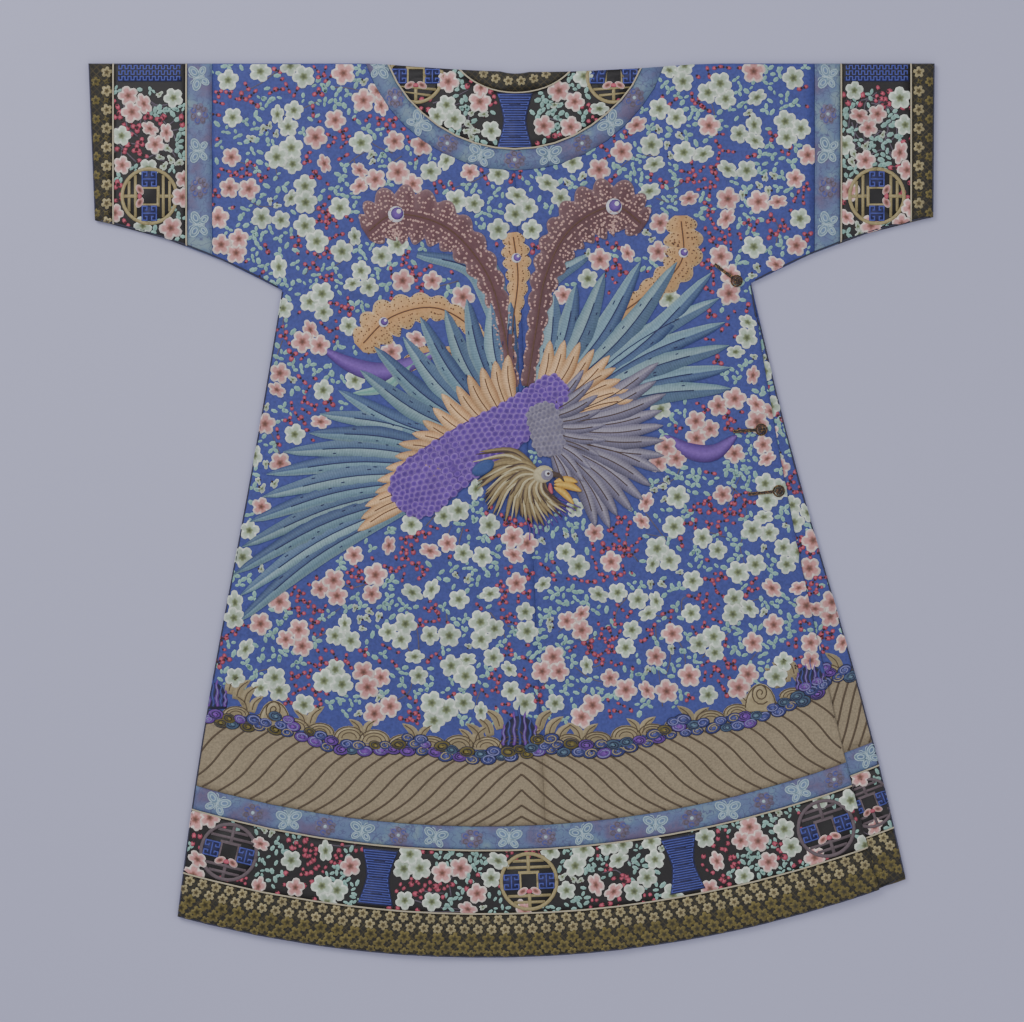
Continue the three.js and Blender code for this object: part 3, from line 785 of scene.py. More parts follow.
class Embroidery:
    """Small raised motifs gathered into one mesh, then laid on the cloth under them."""

    def __init__(self, surface):
        self.bm = new_motif()
        self.spans = []
        self.surface = surface
        self.covers = surface.covers

    def add(self, master, x, y, turn=0.0, size=1.0, squash=1.0, lift=0.0, middle=None):
        """A copy of a motif. Where it overhangs the cloth it is drawn back towards middle.

        Without a middle it is drawn back towards its own place.
        """
        copy = master.copy()
        copy.transform(Matrix.Translation((x, y, 0)) @ Matrix.Rotation(turn, 4, "Z")
                       @ Matrix.Diagonal((size, size * squash, 1, 1)))
        if max(v.co.y for v in copy.vertices) > TRIM_LINE:
            self.trim(copy)
        count = len(copy.vertices)
        if count:
            copy.attributes["tone"].data.foreach_set("value", [RNG.random()] * count)
            for v in copy.vertices:
                v.co.z += lift if v.co.z > 0 else 0
            self.bm.from_mesh(copy)
            self.spans.append((count, *(middle or (x, y))))
        bpy.data.meshes.remove(copy)

    def lay(self, bm, x=0.0, y=0.0, lift=0.0, middle=None):
        """A motif that is made for one place only."""
        mesh = as_mesh(bm, "motif")
        self.add(mesh, x, y, lift=lift, middle=middle)
        bpy.data.meshes.remove(mesh)

    def trim(self, mesh):
        """Cuts off what would hang over the shoulder fold."""
        bm = bmesh.new()
        bm.from_mesh(mesh)
        geometry = [*bm.verts, *bm.edges, *bm.faces]
        cut = bmesh.ops.bisect_plane(bm, geom=geometry, plane_co=(0, TRIM_LINE, 0), plane_no=(0, 1, 0),
                                     clear_outer=True)["geom_cut"]
        bmesh.ops.holes_fill(bm, edges=[g for g in cut if isinstance(g, bmesh.types.BMEdge)])
        bm.to_mesh(mesh)
        bm.free()

    def finish(self, name, slot):
        """Lays every point on the cloth, and draws those beyond its edge back to it."""
        surface = self.surface
        self.bm.verts.ensure_lookup_table()
        index = 0
        for count, *middle in self.spans:
            for v in self.bm.verts[index:index + count]:
                height = surface.height(v.co.x, v.co.y)
                if height is None:
                    share = farthest(lambda t: self.covers(*point_between(middle, v.co, t)), 1.0, 7)
                    v.co.x, v.co.y = point_between(middle, v.co, share)
                    height = surface.height(v.co.x, v.co.y) or 0.0
                # The front's embroidery is pressed flat between the cloth and what it lies on.
                v.co.z = height + v.co.z if surface.upper else max(height - v.co.z * PRESSED, UNDER_GAP)
            index += count
        if not surface.upper:
            bmesh.ops.reverse_faces(self.bm, faces=self.bm.faces)
        mesh = as_mesh(self.bm, name)
        mesh.transform(Matrix.Scale(MM, 4))
        for material in thread_materials():
            mesh.materials.append(material)
        used = {p.material_index for p in mesh.polygons}
        for k in reversed(range(len(THREADS))):
            if k not in used:
                mesh.materials.pop(index=k)
        return add_piece(name, mesh, slot)


class Spacing:
    """Keeps places at least a given distance apart."""

    def __init__(self, reach):
        self.reach = reach
        self.cells = {}

    def near(self, x, y, reach=None):
        reach = reach or self.reach
        i, j = int(x // self.reach), int(y // self.reach)
        around = (self.cells.get((i + a, j + b), ()) for a in (-1, 0, 1) for b in (-1, 0, 1))
        return any((x - p) ** 2 + (y - q) ** 2 < reach ** 2 for cell in around for p, q in cell)

    def add(self, x, y):
        self.cells.setdefault((int(x // self.reach), int(y // self.reach)), []).append((x, y))


def sow(surface, spacing, tries, keep_off, margin):
    """Places on the cloth at least spacing apart. keep_off says where none may fall."""
    left, right, low, high = surface.box
    placed = Spacing(spacing)
    spots = []
    for _ in range(tries):
        x = RNG.uniform(left, right)
        y = RNG.uniform(low, high)
        if placed.near(x, y) or not surface.covers(x, y) or keep_off(x, y):
            continue
        if all(surface.covers(*p) for p in cross(x, y, margin)):
            placed.add(x, y)
            spots.append((x, y))
    return spots


# Shares of a blossom's size: how far those of a cluster lie from its middle, and how far from other
# blossoms a single one and a sprig stay.
CLUSTER_REACH, BLOSSOM_ROOM, SPRIG_ROOM = 0.42, 1.12, 0.57


def sow_blossoms(work, keep_off, spacing, size, tries):
    """Clusters of plum blossoms, then single ones where there is room. Returns where they are."""
    surface = work.surface
    kind = blossom if surface.upper else small_blossom
    pink = as_mesh(kind("pink_petal"), "pink")
    white = as_mesh(kind("white_petal"), "white")
    flowers = Spacing(size * 1.2)

    def bloom(flower, x, y, rank):
        squash = RNG.choice((1.0, 1.0, 1.0, 0.94, 0.68))
        turn = any_turn()
        work.add(flower, x, y, turn, size / 2 * RNG.uniform(0.84, 1.08), squash, lift=0.45 * rank)
        flowers.add(x, y)

    def crowded(x, y):
        return keep_off(x, y) or flowers.near(x, y, size * BLOSSOM_ROOM)

    for x, y in sow(surface, spacing, tries, keep_off, size * 0.2):
        # Pink and white trees grow in drifts, mixed at their edges.
        drift = math.sin(x * 0.017 + y * 0.008 + 0.6) + math.cos(y * 0.019 - x * 0.006)
        flower = pink if drift + RNG.uniform(-1.3, 1.3) > 0.1 else white
        count = RNG.choice((1, 2, 2, 3, 3))
        away = size * CLUSTER_REACH if count > 1 else 0.0
        for k, turn in enumerate(turns_round(count, 0.3)):
            place = polar(away, turn, x, y)
            if surface.covers(*place) and not keep_off(*place):
                bloom(flower, *place, k)
    for x, y in sow(surface, size * 1.5, tries, crowded, 4):
        bloom(RNG.choice((pink, white)), x, y, 0)
    return flowers


SPRIG_SPACING, FRONT_SPRIG_SPACING = 10.6, 17.0
SPRIG_TRIES = 24000  # how many places are tried for a sprig


def fill_between(work, keep_off, flowers, size, spacing):
    """Red buds and pale leaves between the blossoms, in drifts of their own kind."""
    red = [as_mesh(buds(n), "buds") for n in (1, 2, 2, 3)]
    green = [as_mesh(leaves(n), "leaves") for n in (1, 2, 3, 3)]
    pale = [as_mesh(sprout(), "sprout")]

    def taken(x, y):
        return keep_off(x, y) or flowers.near(x, y, size * SPRIG_ROOM)

    for x, y in sow(work.surface, spacing, SPRIG_TRIES, taken, 4.0):
        drift = math.sin(x * 0.041 + 1.3) + math.cos(y * 0.046 - x * 0.019) + RNG.uniform(-0.9, 0.9)
        kinds = red if drift > 0.3 else green if drift > -1.8 else pale
        work.add(RNG.choice(kinds), x, y, any_turn(), RNG.uniform(0.85, 1.2))


def add_twigs(work, count, keep_off):
    """Bent twigs at random, where both of their ends find room."""
    for _ in range(count):
        x = RNG.uniform(*work.surface.box[:2])
        y = RNG.uniform(*work.surface.box[2:])
        turn = any_turn()
        long = RNG.uniform(16, 38)
        bend = RNG.uniform(-12, 12)
        ends = [polar(k * long, turn, x, y) for k in (-1, 1)]
        middle = (x - bend * math.sin(turn), y + bend * math.cos(turn))
        if any(not work.covers(*p) or keep_off(*p) for p in ((x, y), *ends)):
            continue
        bm = new_motif()
        strip(bm, "twig", through((ends[0], middle, ends[1]), 9), lambda t: 2.2 - 1.1 * t, 0.25)
        work.lay(bm, middle=(x, y))


# ---- Operators: one for each piece or group of like pieces ----
class ROBE_OT_ground(bpy.types.Operator):
    """Lays the back, cut in two halves with their sleeves"""
    bl_idname = "robe.ground"
    bl_label = "Back"

    def execute(self, context):
        material = ground_silk("ground_silk", 0)
        meshes = [make_cloth(n, material, "ground", rests_on=FRONT_NODES) for n in GROUND_NODES]
        surfaces["ground"] = Surface(meshes)
        return {"FINISHED"}


class ROBE_OT_front(bpy.types.Operator):
    """Lays the front, face down on the surface"""
    bl_idname = "robe.front"
    bl_label = "Front"

    def execute(self, context):
        material = ground_silk("front_silk", 0, borders=True)
        meshes = [make_cloth(n, material, "ground", upper=False) for n in FRONT_NODES]
        surfaces["front"] = Surface(meshes, upper=False)
        return {"FINISHED"}


class ROBE_OT_lapel(bpy.types.Operator):
    """Brings the lapel round under the back's edge"""
    bl_idname = "robe.lapel"
    bl_label = "Lapel"

    def execute(self, context):
        material = ground_silk("lapel_silk", LAPEL_RISE)
        mesh = make_cloth("lapel_side", material, "ground", rests_on=FRONT_NODES[1:])
        surfaces["lapel"] = Surface([mesh])
        return {"FINISHED"}


class ROBE_OT_borders(bpy.types.Operator):
    """Sews on the brocade, gold and ribbon borders"""
    bl_idname = "robe.borders"
    bl_label = "Borders"

    # Where each curved band starts and ends: radii at the neck, heights at the hem.
    neck = {
        "neck_gold": (NECK_GOLD, NECK_BROCADE),
        "neck_brocade": (NECK_BROCADE, NECK_RIBBON),
        "neck_ribbon": (NECK_RIBBON, NECK_END),
    }
    hem = {
        "hem_gold": (0, GOLD_TOP),
        "hem_brocade": (GOLD_TOP, BROCADE_TOP),
        "hem_ribbon": (BROCADE_TOP, RIBBON_TOP),
    }
    hem_arc = 1.06  # the hem's length along its arc, for each metre across

    def execute(self, context):
        groups = (
            ("brocade", BROCADE_NODES, border_silk("brocade_silk", chosen("brocade"))),
            ("gold", GOLD_NODES, gold_brocade("gold_brocade_silk", chosen("gold"))),
            ("ribbon", RIBBON_NODES, ribbon_silk("ribbon_silk", chosen("ribbon"))),
        )
        for slot, nodes, material in groups:
            for node in nodes:
                mesh = make_cloth(node, material, slot, flat=self.cut(node), rests_on=FRONT_NODES)
                surfaces[node] = Surface([mesh])
        return {"FINISHED"}

    def cut(self, node):
        """A curved band's width and length round its outer edge, in metres.

        A straight one has its own box, and none is given.
        """
        if node in self.neck:
            inner, outer = self.neck[node]
            half = math.acos((NECK_Y - SHOULDER) / outer)
            return (outer - inner) * MM, 2 * outer * half * MM
        if node in self.hem:
            low, high = self.hem[node]
            box_low, box_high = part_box(node)
            return (high - low) * MM, (box_high.x - box_low.x) * self.hem_arc
        return None


class ROBE_OT_piping(bpy.types.Operator):
    """Rounds the piping over the seams"""
    bl_idname = "robe.piping"
    bl_label = "Piping"

    def execute(self, context):
        shading = Shading("piping_cord", 0.45, sheen=0.3)
        twist = shading.waves(TWIST_SCALE, "DIAGONAL", 0.4)
        # Painted shade: darker in the grooves of the cord's twist and lighter on its ridges, in the same
        # bands as the bump.
        colour = shading.shaded(linear(chosen("piping")), twist, 0.14)
        material = shading.finish(colour, twist, 0.6, TWIST_DEPTH)
        for node in sorted(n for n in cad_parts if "piping" in n):
            rounded_copy(node, material, "piping", PIPING_ROUND)
        return {"FINISHED"}


PIPING_ROUND, LOOP_ROUND = 0.00055, 0.0004  # how far their edges are rolled, in metres
FLAT_ANGLE = 0.02  # faces that meet at less are one
SHARP_ANGLE = 0.9  # faces that meet at more have their edge rolled


def shown(node, bm, slot, material):
    """The mesh as a smooth piece in place of the node."""
    piece = add_piece(f"silk_{node}", as_mesh(bm, node), slot, node)
    piece.data.materials.append(material)
    piece.data.shade_smooth()
    return piece


def rounded_copy(node, material, slot, width):
    """A copy of the node with rolled edges, which replaces it."""
    bm = bmesh.new()
    bm.from_mesh(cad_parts[node].data)
    bmesh.ops.remove_doubles(bm, verts=bm.verts, dist=MERGE_DISTANCE)
    bmesh.ops.dissolve_limit(bm, angle_limit=FLAT_ANGLE, verts=bm.verts, edges=bm.edges)
    sharp = [e for e in bm.edges if len(e.link_faces) == 2 and e.calc_face_angle() > SHARP_ANGLE]
    bmesh.ops.bevel(bm, geom=sharp, offset=width, segments=2, profile=0.5, affect="EDGES", material=-1)
    return shown(node, bm, slot, material)


class ROBE_OT_fastenings(bpy.types.Operator):
    """Makes the loops, with gold edges, and the wound knots"""
    bl_idname = "robe.fastenings"
    bl_label = "Fastenings"

    # A knot of radius 1: its core, its cord's radius, and how far each ring of cord leans.
    core, cord, lean = 0.74, 0.3, 0.95

    def execute(self, context):
        cord = cord_silk("fastening_cord", chosen("cord"))
        gold = thread("gold_edge", (0.0, (140, 112, 62)), roughness=0.4, metallic=0.3)
        for word in ("upper", "middle", "lower"):
            loop = rounded_copy(f"loop_{word}", cord, "fastening", LOOP_ROUND)
            loop.data.materials.append(gold)
            self.gild(loop.data)
            self.knot(f"knot_{word}", cord)
        return {"FINISHED"}

    def gild(self, mesh):
        """Gives the rolled edges of a loop their gold thread."""
        for face in mesh.polygons:
            if 0.25 < face.normal.z < 0.93:
                face.material_index = 1

    def knot(self, node, material):
        """A ball of cord: three rings of it, wound across each other round a core."""
        low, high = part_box(node)
        centre = (low + high) / 2
        reach = (high - low) / 2
        bm = bmesh.new()
        bmesh.ops.create_icosphere(bm, subdivisions=2, radius=self.core)
        for k in range(3):
            ring = bmesh.ops.create_circle(bm, segments=8, radius=self.cord)["verts"]
            bmesh.ops.rotate(bm, verts=ring, matrix=Matrix.Rotation(math.pi / 2, 3, "X"))
            bmesh.ops.translate(bm, verts=ring, vec=(1 - self.cord, 0, 0))
            edges = once_each(e for v in ring for e in v.link_edges)
            bmesh.ops.spin(bm, geom=ring + edges, cent=(0, 0, 0), axis=(0, 0, 1),
                           angle=math.tau, steps=20, use_merge=True)
            tilt = Matrix.Rotation(k * math.pi / 3, 3, "Z") @ Matrix.Rotation(self.lean, 3, "X")
            bmesh.ops.rotate(bm, verts=island(ring[0]), cent=(0, 0, 0), matrix=tilt)
        bmesh.ops.recalc_face_normals(bm, faces=bm.faces)
        bmesh.ops.scale(bm, vec=reach, verts=bm.verts)
        bmesh.ops.translate(bm, vec=centre, verts=bm.verts)
        shown(node, bm, "fastening", material)


class ROBE_OT_edges(bpy.types.Operator):
    """Binds the open edges with dark thread, which also paints the shade line along the cloth's edge"""
    bl_idname = "robe.edges"
    bl_label = "Edge thread"

    # Lines inside the cloth to look outwards from: start, end, direction, farthest look and number of points.
    looks = (
        ((-200, -640), (-200, 338), (-1, 0), 400, 60),
        ((300, -590), (300, 349), (1, 0), 400, 60),
        ((-645, 560), (-361, 560), (0, -1), 232, 24),
        ((645, 560), (377, 560), (0, -1), 224, 24),
        ((-600, 462), (-600, 689), (-1, 0), 120, 14),
        ((600, 462), (600, 689), (1, 0), 120, 14),
        ((-512, -520), (562, -480), (0, -1), 300, 70),
    )

    inset = 1.8  # how far inside the edge the thread's middle lies
    seam = 0.5  # a seam is narrower than this, so that far to both sides is looked at too

    def execute(self, context):
        work = Embroidery(Surface(upper_meshes))
        for start, end, (dx, dy), far, count in self.looks:
            path = []
            for i in range(count):
                x, y = point_between(start, end, i / (count - 1))

                def on_cloth(t):
                    beside = (t + e for e in (-self.seam, 0, self.seam))
                    return any(work.covers(x + dx * u, y + dy * u) for u in beside)
                out = farthest(on_cloth, float(far), 14) - self.inset
                path.append((x + dx * out, y + dy * out))
            # A dark line of thread just inside the edge: painted shade along the edge as well as a binding.
            bm = new_motif()
            strip(bm, "edge_thread", path, 2.3, 0.35)
            work.lay(bm, middle=start)
        work.finish("edge_thread", "fastening")
        return {"FINISHED"}


# The bird's fans of feathers: lines of roots, with the turns and lengths at both ends and in the middle.
FANS = (
    # threads, count, first root, last root, turns, lengths, width, lift
    (("feather_teal", "feather_pale"), 19, (-152, 10), (4, 178), (214, 166, 92), (330, 234, 150), 30, 0.9),
    (("feather_pale", "feather_teal"), 11, (40, 186), (98, 146), (80, 40, 10), (150, 318, 238), 33, 0.9),
    (("feather_peach",), 17, (-148, 16), (2, 170), (208, 162, 96), (102, 88, 72), 21, 1.5),
    (("feather_peach",), 9, (42, 180), (94, 148), (78, 42, 14), (88, 114, 92), 21, 1.5),
    (("feather_mauve",), 14, (84, 146), (90, 74), (30, -14, -68), (158, 152, 112), 23, 1.5),
    (("feather_mauve",), 11, (56, 156), (64, 86), (48, -8, -76), (84, 88, 62), 15, 1.9),
)
# Tail plumes: thread, route, widest, where it is widest, lobes, lift, and whether an eye ends it.
PLUMES = (
    ("feather_teal", ((0, 190), (-30, 300), (-62, 372), (-146, 396)), 24, 0.5, 0, 0.5, False),
    ("feather_pale", ((22, 190), (36, 290), (58, 352), (116, 392)), 24, 0.5, 0, 0.5, False),
    ("feather_pale", ((-8, 188), (-22, 270), (-20, 350), (-58, 420)), 20, 0.5, 0, 0.6, False),
    ("plume_ochre", ((-10, 188), (-46, 266), (-112, 312), (-184, 300), (-236, 252)), 66, 0.8, 11, 0.35, True),
    ("plume_ochre", ((-20, 182), (-66, 232), (-126, 244), (-186, 206)), 26, 0.7, 9, 0.3, False),
    ("plume_ochre", ((46, 196), (118, 268), (204, 330), (262, 384), (262, 456)), 62, 0.82, 12, 0.35, True),
    ("plume_ochre", ((6, 190), (2, 280), (10, 360), (2, 430)), 44, 0.8, 11, 0.7, True),
    ("plume_plum", ((2, 190), (-12, 280), (-38, 366), (-98, 436), (-178, 458), (-226, 428)),
     92, 0.74, 15, 1.0, True),
    ("plume_plum", ((24, 192), (38, 280), (54, 366), (92, 436), (158, 470), (206, 440)),
     92, 0.72, 15, 1.2, True),
)
RIBBONS = (
    ("ribbon_purple", ((-112, 246), (-164, 224), (-206, 214), (-250, 226), (-292, 250)), 26),
    ("ribbon_purple", ((236, 116), (276, 92), (314, 90), (348, 116)), 24),
    ("mint_leaf", ((-118, 246), (-160, 222), (-196, 190), (-246, 180)), 13),
)
RIBBONS_LIFT = 0.8  # how high the ribbons lie over the cloth
SHAFT_RISE = 0.5  # how much higher than its feather a shaft lies
SHAFTS = {"feather_teal": "fret_ground", "feather_pale": "fret_ground", "feather_peach": "plume_line"}
BODY = (-33, 125)


class ROBE_OT_bird(bpy.types.Operator):
    """Embroiders the phoenix on the back"""
    bl_idname = "robe.bird"
    bl_label = "Phoenix"

    stagger = 0.07  # how much higher the next feather of three lies
    feather_bend = 0.05  # how far a feather's middle is off its line, as a share of its length
    head_place = (46, 56)
    eye, large_eye, large_plume = 7.5, 12.5, 80  # a plume wider than the last has the large eye
    # Hackles in rings about the head: number, first and last turn, first and last length, and lift.
    rings = ((46, (146, 296), (108, 66), 2.7), (26, (150, 290), (62, 44), 3.1))
    hackles = (("hackle_gold", 9), ("hackle_dark", 3.6), ("hackle_gold", 8), ("hackle_pale", 3))
    # Nape, cheek and eye: thread, place, radius, lift, segments, turn and squash.
    spots = (
        ("patch_blue", -44, 66, 19, 3.6, 16, 0.5, 0.55),
        ("hackle_pale", 49, 56, 16, 3.9, 16, 0.3, 0.84),
        ("scale_mauve", 55, 55, 9.5, 4.3, 14, 0.0, 0.9),
        ("pearl", 56, 57, 4.4, 4.7, 12),
        ("calyx", 57, 57, 2.5, 5.0, 8),
    )
    # Comb: root, tip and width of each of its lobes.
    comb = (((66, 44), (102, 44), 9), ((66, 40), (108, 30), 11), ((66, 36), (96, 10), 9))

    def execute(self, context):
        self.work = Embroidery(surfaces["ground"])
        self.plumes()
        for name, path, wide in RIBBONS:
            curl = lambda t: 3 + wide * math.sin(math.pi * t) ** 0.7
            self.band(name, through(path, 22), curl, RIBBONS_LIFT, 0.35)
        for fan in FANS:
            self.fan(*fan)
        self.body()
        self.head()
        piece = self.work.finish("embroidered_phoenix", "ground")
        surfaces["bird"] = Surface([piece.data])
        return {"FINISHED"}

    def band(self, name, path, width, lift, height=0.5, ridge=True):
        bm = new_motif()
        strip(bm, name, path, width, height, ridge, lift)
        self.work.lay(bm, middle=BODY)

    def spot(self, name, x, y, radius, lift, segments=10, turn=0.0, squash=1.0):
        bm = new_motif()
        rings = ((1.0, 0.2, 1.0), (0.5, 0.5, 0.4))
        disc(bm, name, radius, segments, rings, squash=squash, turn=turn, lift=lift)
        self.work.lay(bm, x, y)

    def fan(self, names, count, first, last, turns, lengths, width, lift):
        """Feathers side by side, with their roots on a line and their tips spread."""
        for k in range(count):
            name = names[k % len(names)]
            t = k / (count - 1)
            half = 0 if t < 0.5 else 1
            s = t * 2 - half
            turn = math.radians(lerp(turns[half], turns[half + 1], s))
            long = lerp(lengths[half], lengths[half + 1], s) * RNG.uniform(0.95, 1.05)
            x, y = point_between(first, last, t)
            side = (-math.sin(turn), math.cos(turn))
            bend = long * self.feather_bend * (1 if t > 0.5 else -1)
            tip = polar(long, turn, x, y)
            middle = ((x + tip[0]) / 2 + side[0] * bend, (y + tip[1]) / 2 + side[1] * bend)
            path = through(((x, y), middle, tip), 14)
            up = lift + self.stagger * (k % 3)
            self.band(name, path, lambda u: self.blade(u, width), up)
            self.band(SHAFTS.get(name, "hackle_dark"), path[:11], 1.7, up + SHAFT_RISE, 0.12, ridge=False)
            if "teal" in name or "pale" in name:
                self.flecks(path, width, up)

    def blade(self, u, width):
        """How wide a feather is, from its root to its pointed tip."""
        return 1.4 + width * min(1.0, 0.45 + u * 1.4) * (1 - max(0.0, u - 0.55) / 0.45) ** 0.55

    def flecks(self, path, width, lift):
        """Short dark stitches along a feather."""
        for k in range(3, 11, 2):
            ahead = (path[k + 1] - path[k]).normalized()
            across = left_of(ahead) * width * RNG.choice((-0.27, 0.25))
            start = path[k] + across
            end = start + ahead * RNG.uniform(4, 7)
            self.band("fret_ground", [start, end], 1.6, lift + 0.42, 0.1, ridge=False)

    def plumes(self):
        """Tail plumes, with dots where they are lobed and an eye where they have one."""
        for name, route, width, widest, lobes, lift, eye in PLUMES:
            path = through(route, 8 * lobes + 2 if lobes else 22)
            shape = lambda t: self.plume_width(t, width, widest, lobes)
            self.band(name, path, shape, lift)
            line = "fret_ground" if name.startswith("feather") else "plume_line"
            self.band(line, path[:-3], 2.2, lift + SHAFT_RISE, 0.12, ridge=False)
            if lobes:
                self.dots(name, path, shape, lift)
            if eye:
                x, y = path[-len(path) // 5]
                size = self.large_eye if width > self.large_plume else self.eye
                self.spot("pearl", x, y, size, lift + 0.4, 18)
                self.spot("ribbon_purple", x + size * 0.14, y + size * 0.1, size * 0.78, lift + 0.8, 14)
                self.spot("pearl", x + size * 0.36, y + size * 0.36, size * 0.3, lift + 1.2, 8)

    def plume_width(self, t, width, widest, lobes):
        """Narrow at the root, full near the end and round at the tip, with scalloped edges."""
        if t < widest:
            full = 0.22 + 0.78 * (t / widest) ** 1.7
        else:
            full = math.sqrt(max(0.0, 1 - ((t - widest) / (1.02 - widest)) ** 2))
        scallop = 0.62 + 0.38 * abs(math.sin(lobes * math.pi * t)) ** 0.8 if lobes else 1.0
        return 2.5 + width * full * scallop

    def dots(self, name, path, shape, lift):
        """Knots of thread in rows across a plume."""
        dot, sunk = ("plume_dot", 0.0) if name == "plume_plum" else ("plume_line", 0.3)
        last = len(path) - 1
        for k in range(2, last - 1):
            ahead = (path[k + 1] - path[k]).normalized()
            side = left_of(ahead)
            wide = shape(k / last)
            count = max(1, int(wide / 15))
            for j in range(-count, count + 1):
                if j:
                    spot = path[k] + side * (wide * 0.44 * j / count) + ahead * RNG.uniform(-2.5, 2.5)
                    up = lift + lerp(0.5, 0.24, abs(j) / count * 0.88) - 0.1
                    if RNG.random() < 0.7:
                        self.spot(dot, spot.x, spot.y, RNG.uniform(1.4, 2.2), up - sunk, 5)

    def body(self):
        """The long body, then the shoulder, both covered with scales."""
        spine = through(((-174, 2), (-132, 44), (-62, 96), (0, 134), (46, 168), (80, 200)), 40)
        round_end = lambda part: math.sqrt(1 - (1 - min(1.0, part)) ** 2)
        girth = lambda t: 3 + lerp(98, 46, t) * round_end(t / 0.2) * round_end((1 - t) / 0.09)
        self.scaled("body_purple", "scale_purple", spine, girth, 6.6, 1.9)
        shoulder = through(((40, 166), (54, 128), (60, 82)), 14)
        girth = lambda t: 3 + 48 * round_end(t / 0.3) * round_end((1 - t) / 0.3)
        self.scaled("feather_mauve", "scale_mauve", shoulder, girth, 5.4, 2.3)

    def scaled(self, under, over, spine, girth, size, lift):
        """A tapered form with staggered rows of overlapping scales on it."""
        self.band(under, spine, girth, lift, 0.3, ridge=False)
        bm = new_motif()
        disc(bm, over, 1.0, 9, ((1.0, 0.1, 1.0), (0.55, 0.35, 0.5)), squash=0.88)
        scale = as_mesh(bm, "scale")
        last = len(spine) - 1
        for k in range(1, last):
            ahead = (spine[k + 1] - spine[k - 1]).normalized()
            side = left_of(ahead)
            wide = girth(k / last) / 2 - size * 0.5
            count = max(1, round(wide / size / 1.45))
            for j in range(-count, count + 1):
                offset = (j + (0.5 if k % 2 else 0.0)) * wide / count
                if abs(offset) <= wide + 0.5:
                    spot = spine[k] + side * offset
                    up = lift + 0.25 + 0.22 * (k % 2)
                    self.work.add(scale, spot.x, spot.y, math.atan2(ahead.y, ahead.x), size, lift=up)

    def head(self):
        """Hackles that sweep back from the head, then its face, comb, wattle and breast."""
        for count, spread, lengths, base in self.rings:
            for k in range(count):
                t = k / (count - 1)
                turn = math.radians(lerp(*spread, t))
                long = lerp(*lengths, t) * RNG.uniform(0.84, 1.06)
                route = []
                for share, bend in ((0.1, -0.2), (0.55, -0.1), (1.0, 0.24)):
                    route.append(polar(long * share, turn + bend, *self.head_place))
                name, wide = self.hackles[k % len(self.hackles)]
                blade = lambda u: 0.9 + wide * math.sin(math.pi * min(1.0, 0.12 + u * 0.88)) ** 0.7
                self.band(name, through(route, 10), blade, base + 0.12 * (k % 4), 0.4)
        for spot in self.spots:
            self.spot(*spot)
        brow = lambda t: 9 * (1 - t) ** 0.7 + 0.8
        self.band("hackle_dark", through(((62, 56), (74, 54), (82, 44)), 8), brow, 4.0)
        for root, end, wide in self.comb:
            middle = ((root[0] + end[0]) / 2, (root[1] + end[1]) / 2 + 4)
            lobe = lambda t: 2 + wide * math.sin(math.pi * t) ** 0.8
            self.band("crest_yellow", through((root, middle, end), 9), lobe, 3.4)
        wattle = lambda t: 3 + 4 * math.sin(math.pi * t)
        self.band("bud_red", through(((60, 42), (60, 34), (63, 26)), 6), wattle, 4.0)
        for k in range(12):
            start = point_between((20, -8), (66, 20), k / 11)
            end = (start[0] + 8 + 3 * k, start[1] - 38 + 2 * k)
            path = through((start, ((start[0] + end[0]) / 2 + 4, (start[1] + end[1]) / 2), end), 6)
            self.band("body_purple", path, 1.8, 1.5, 0.3)


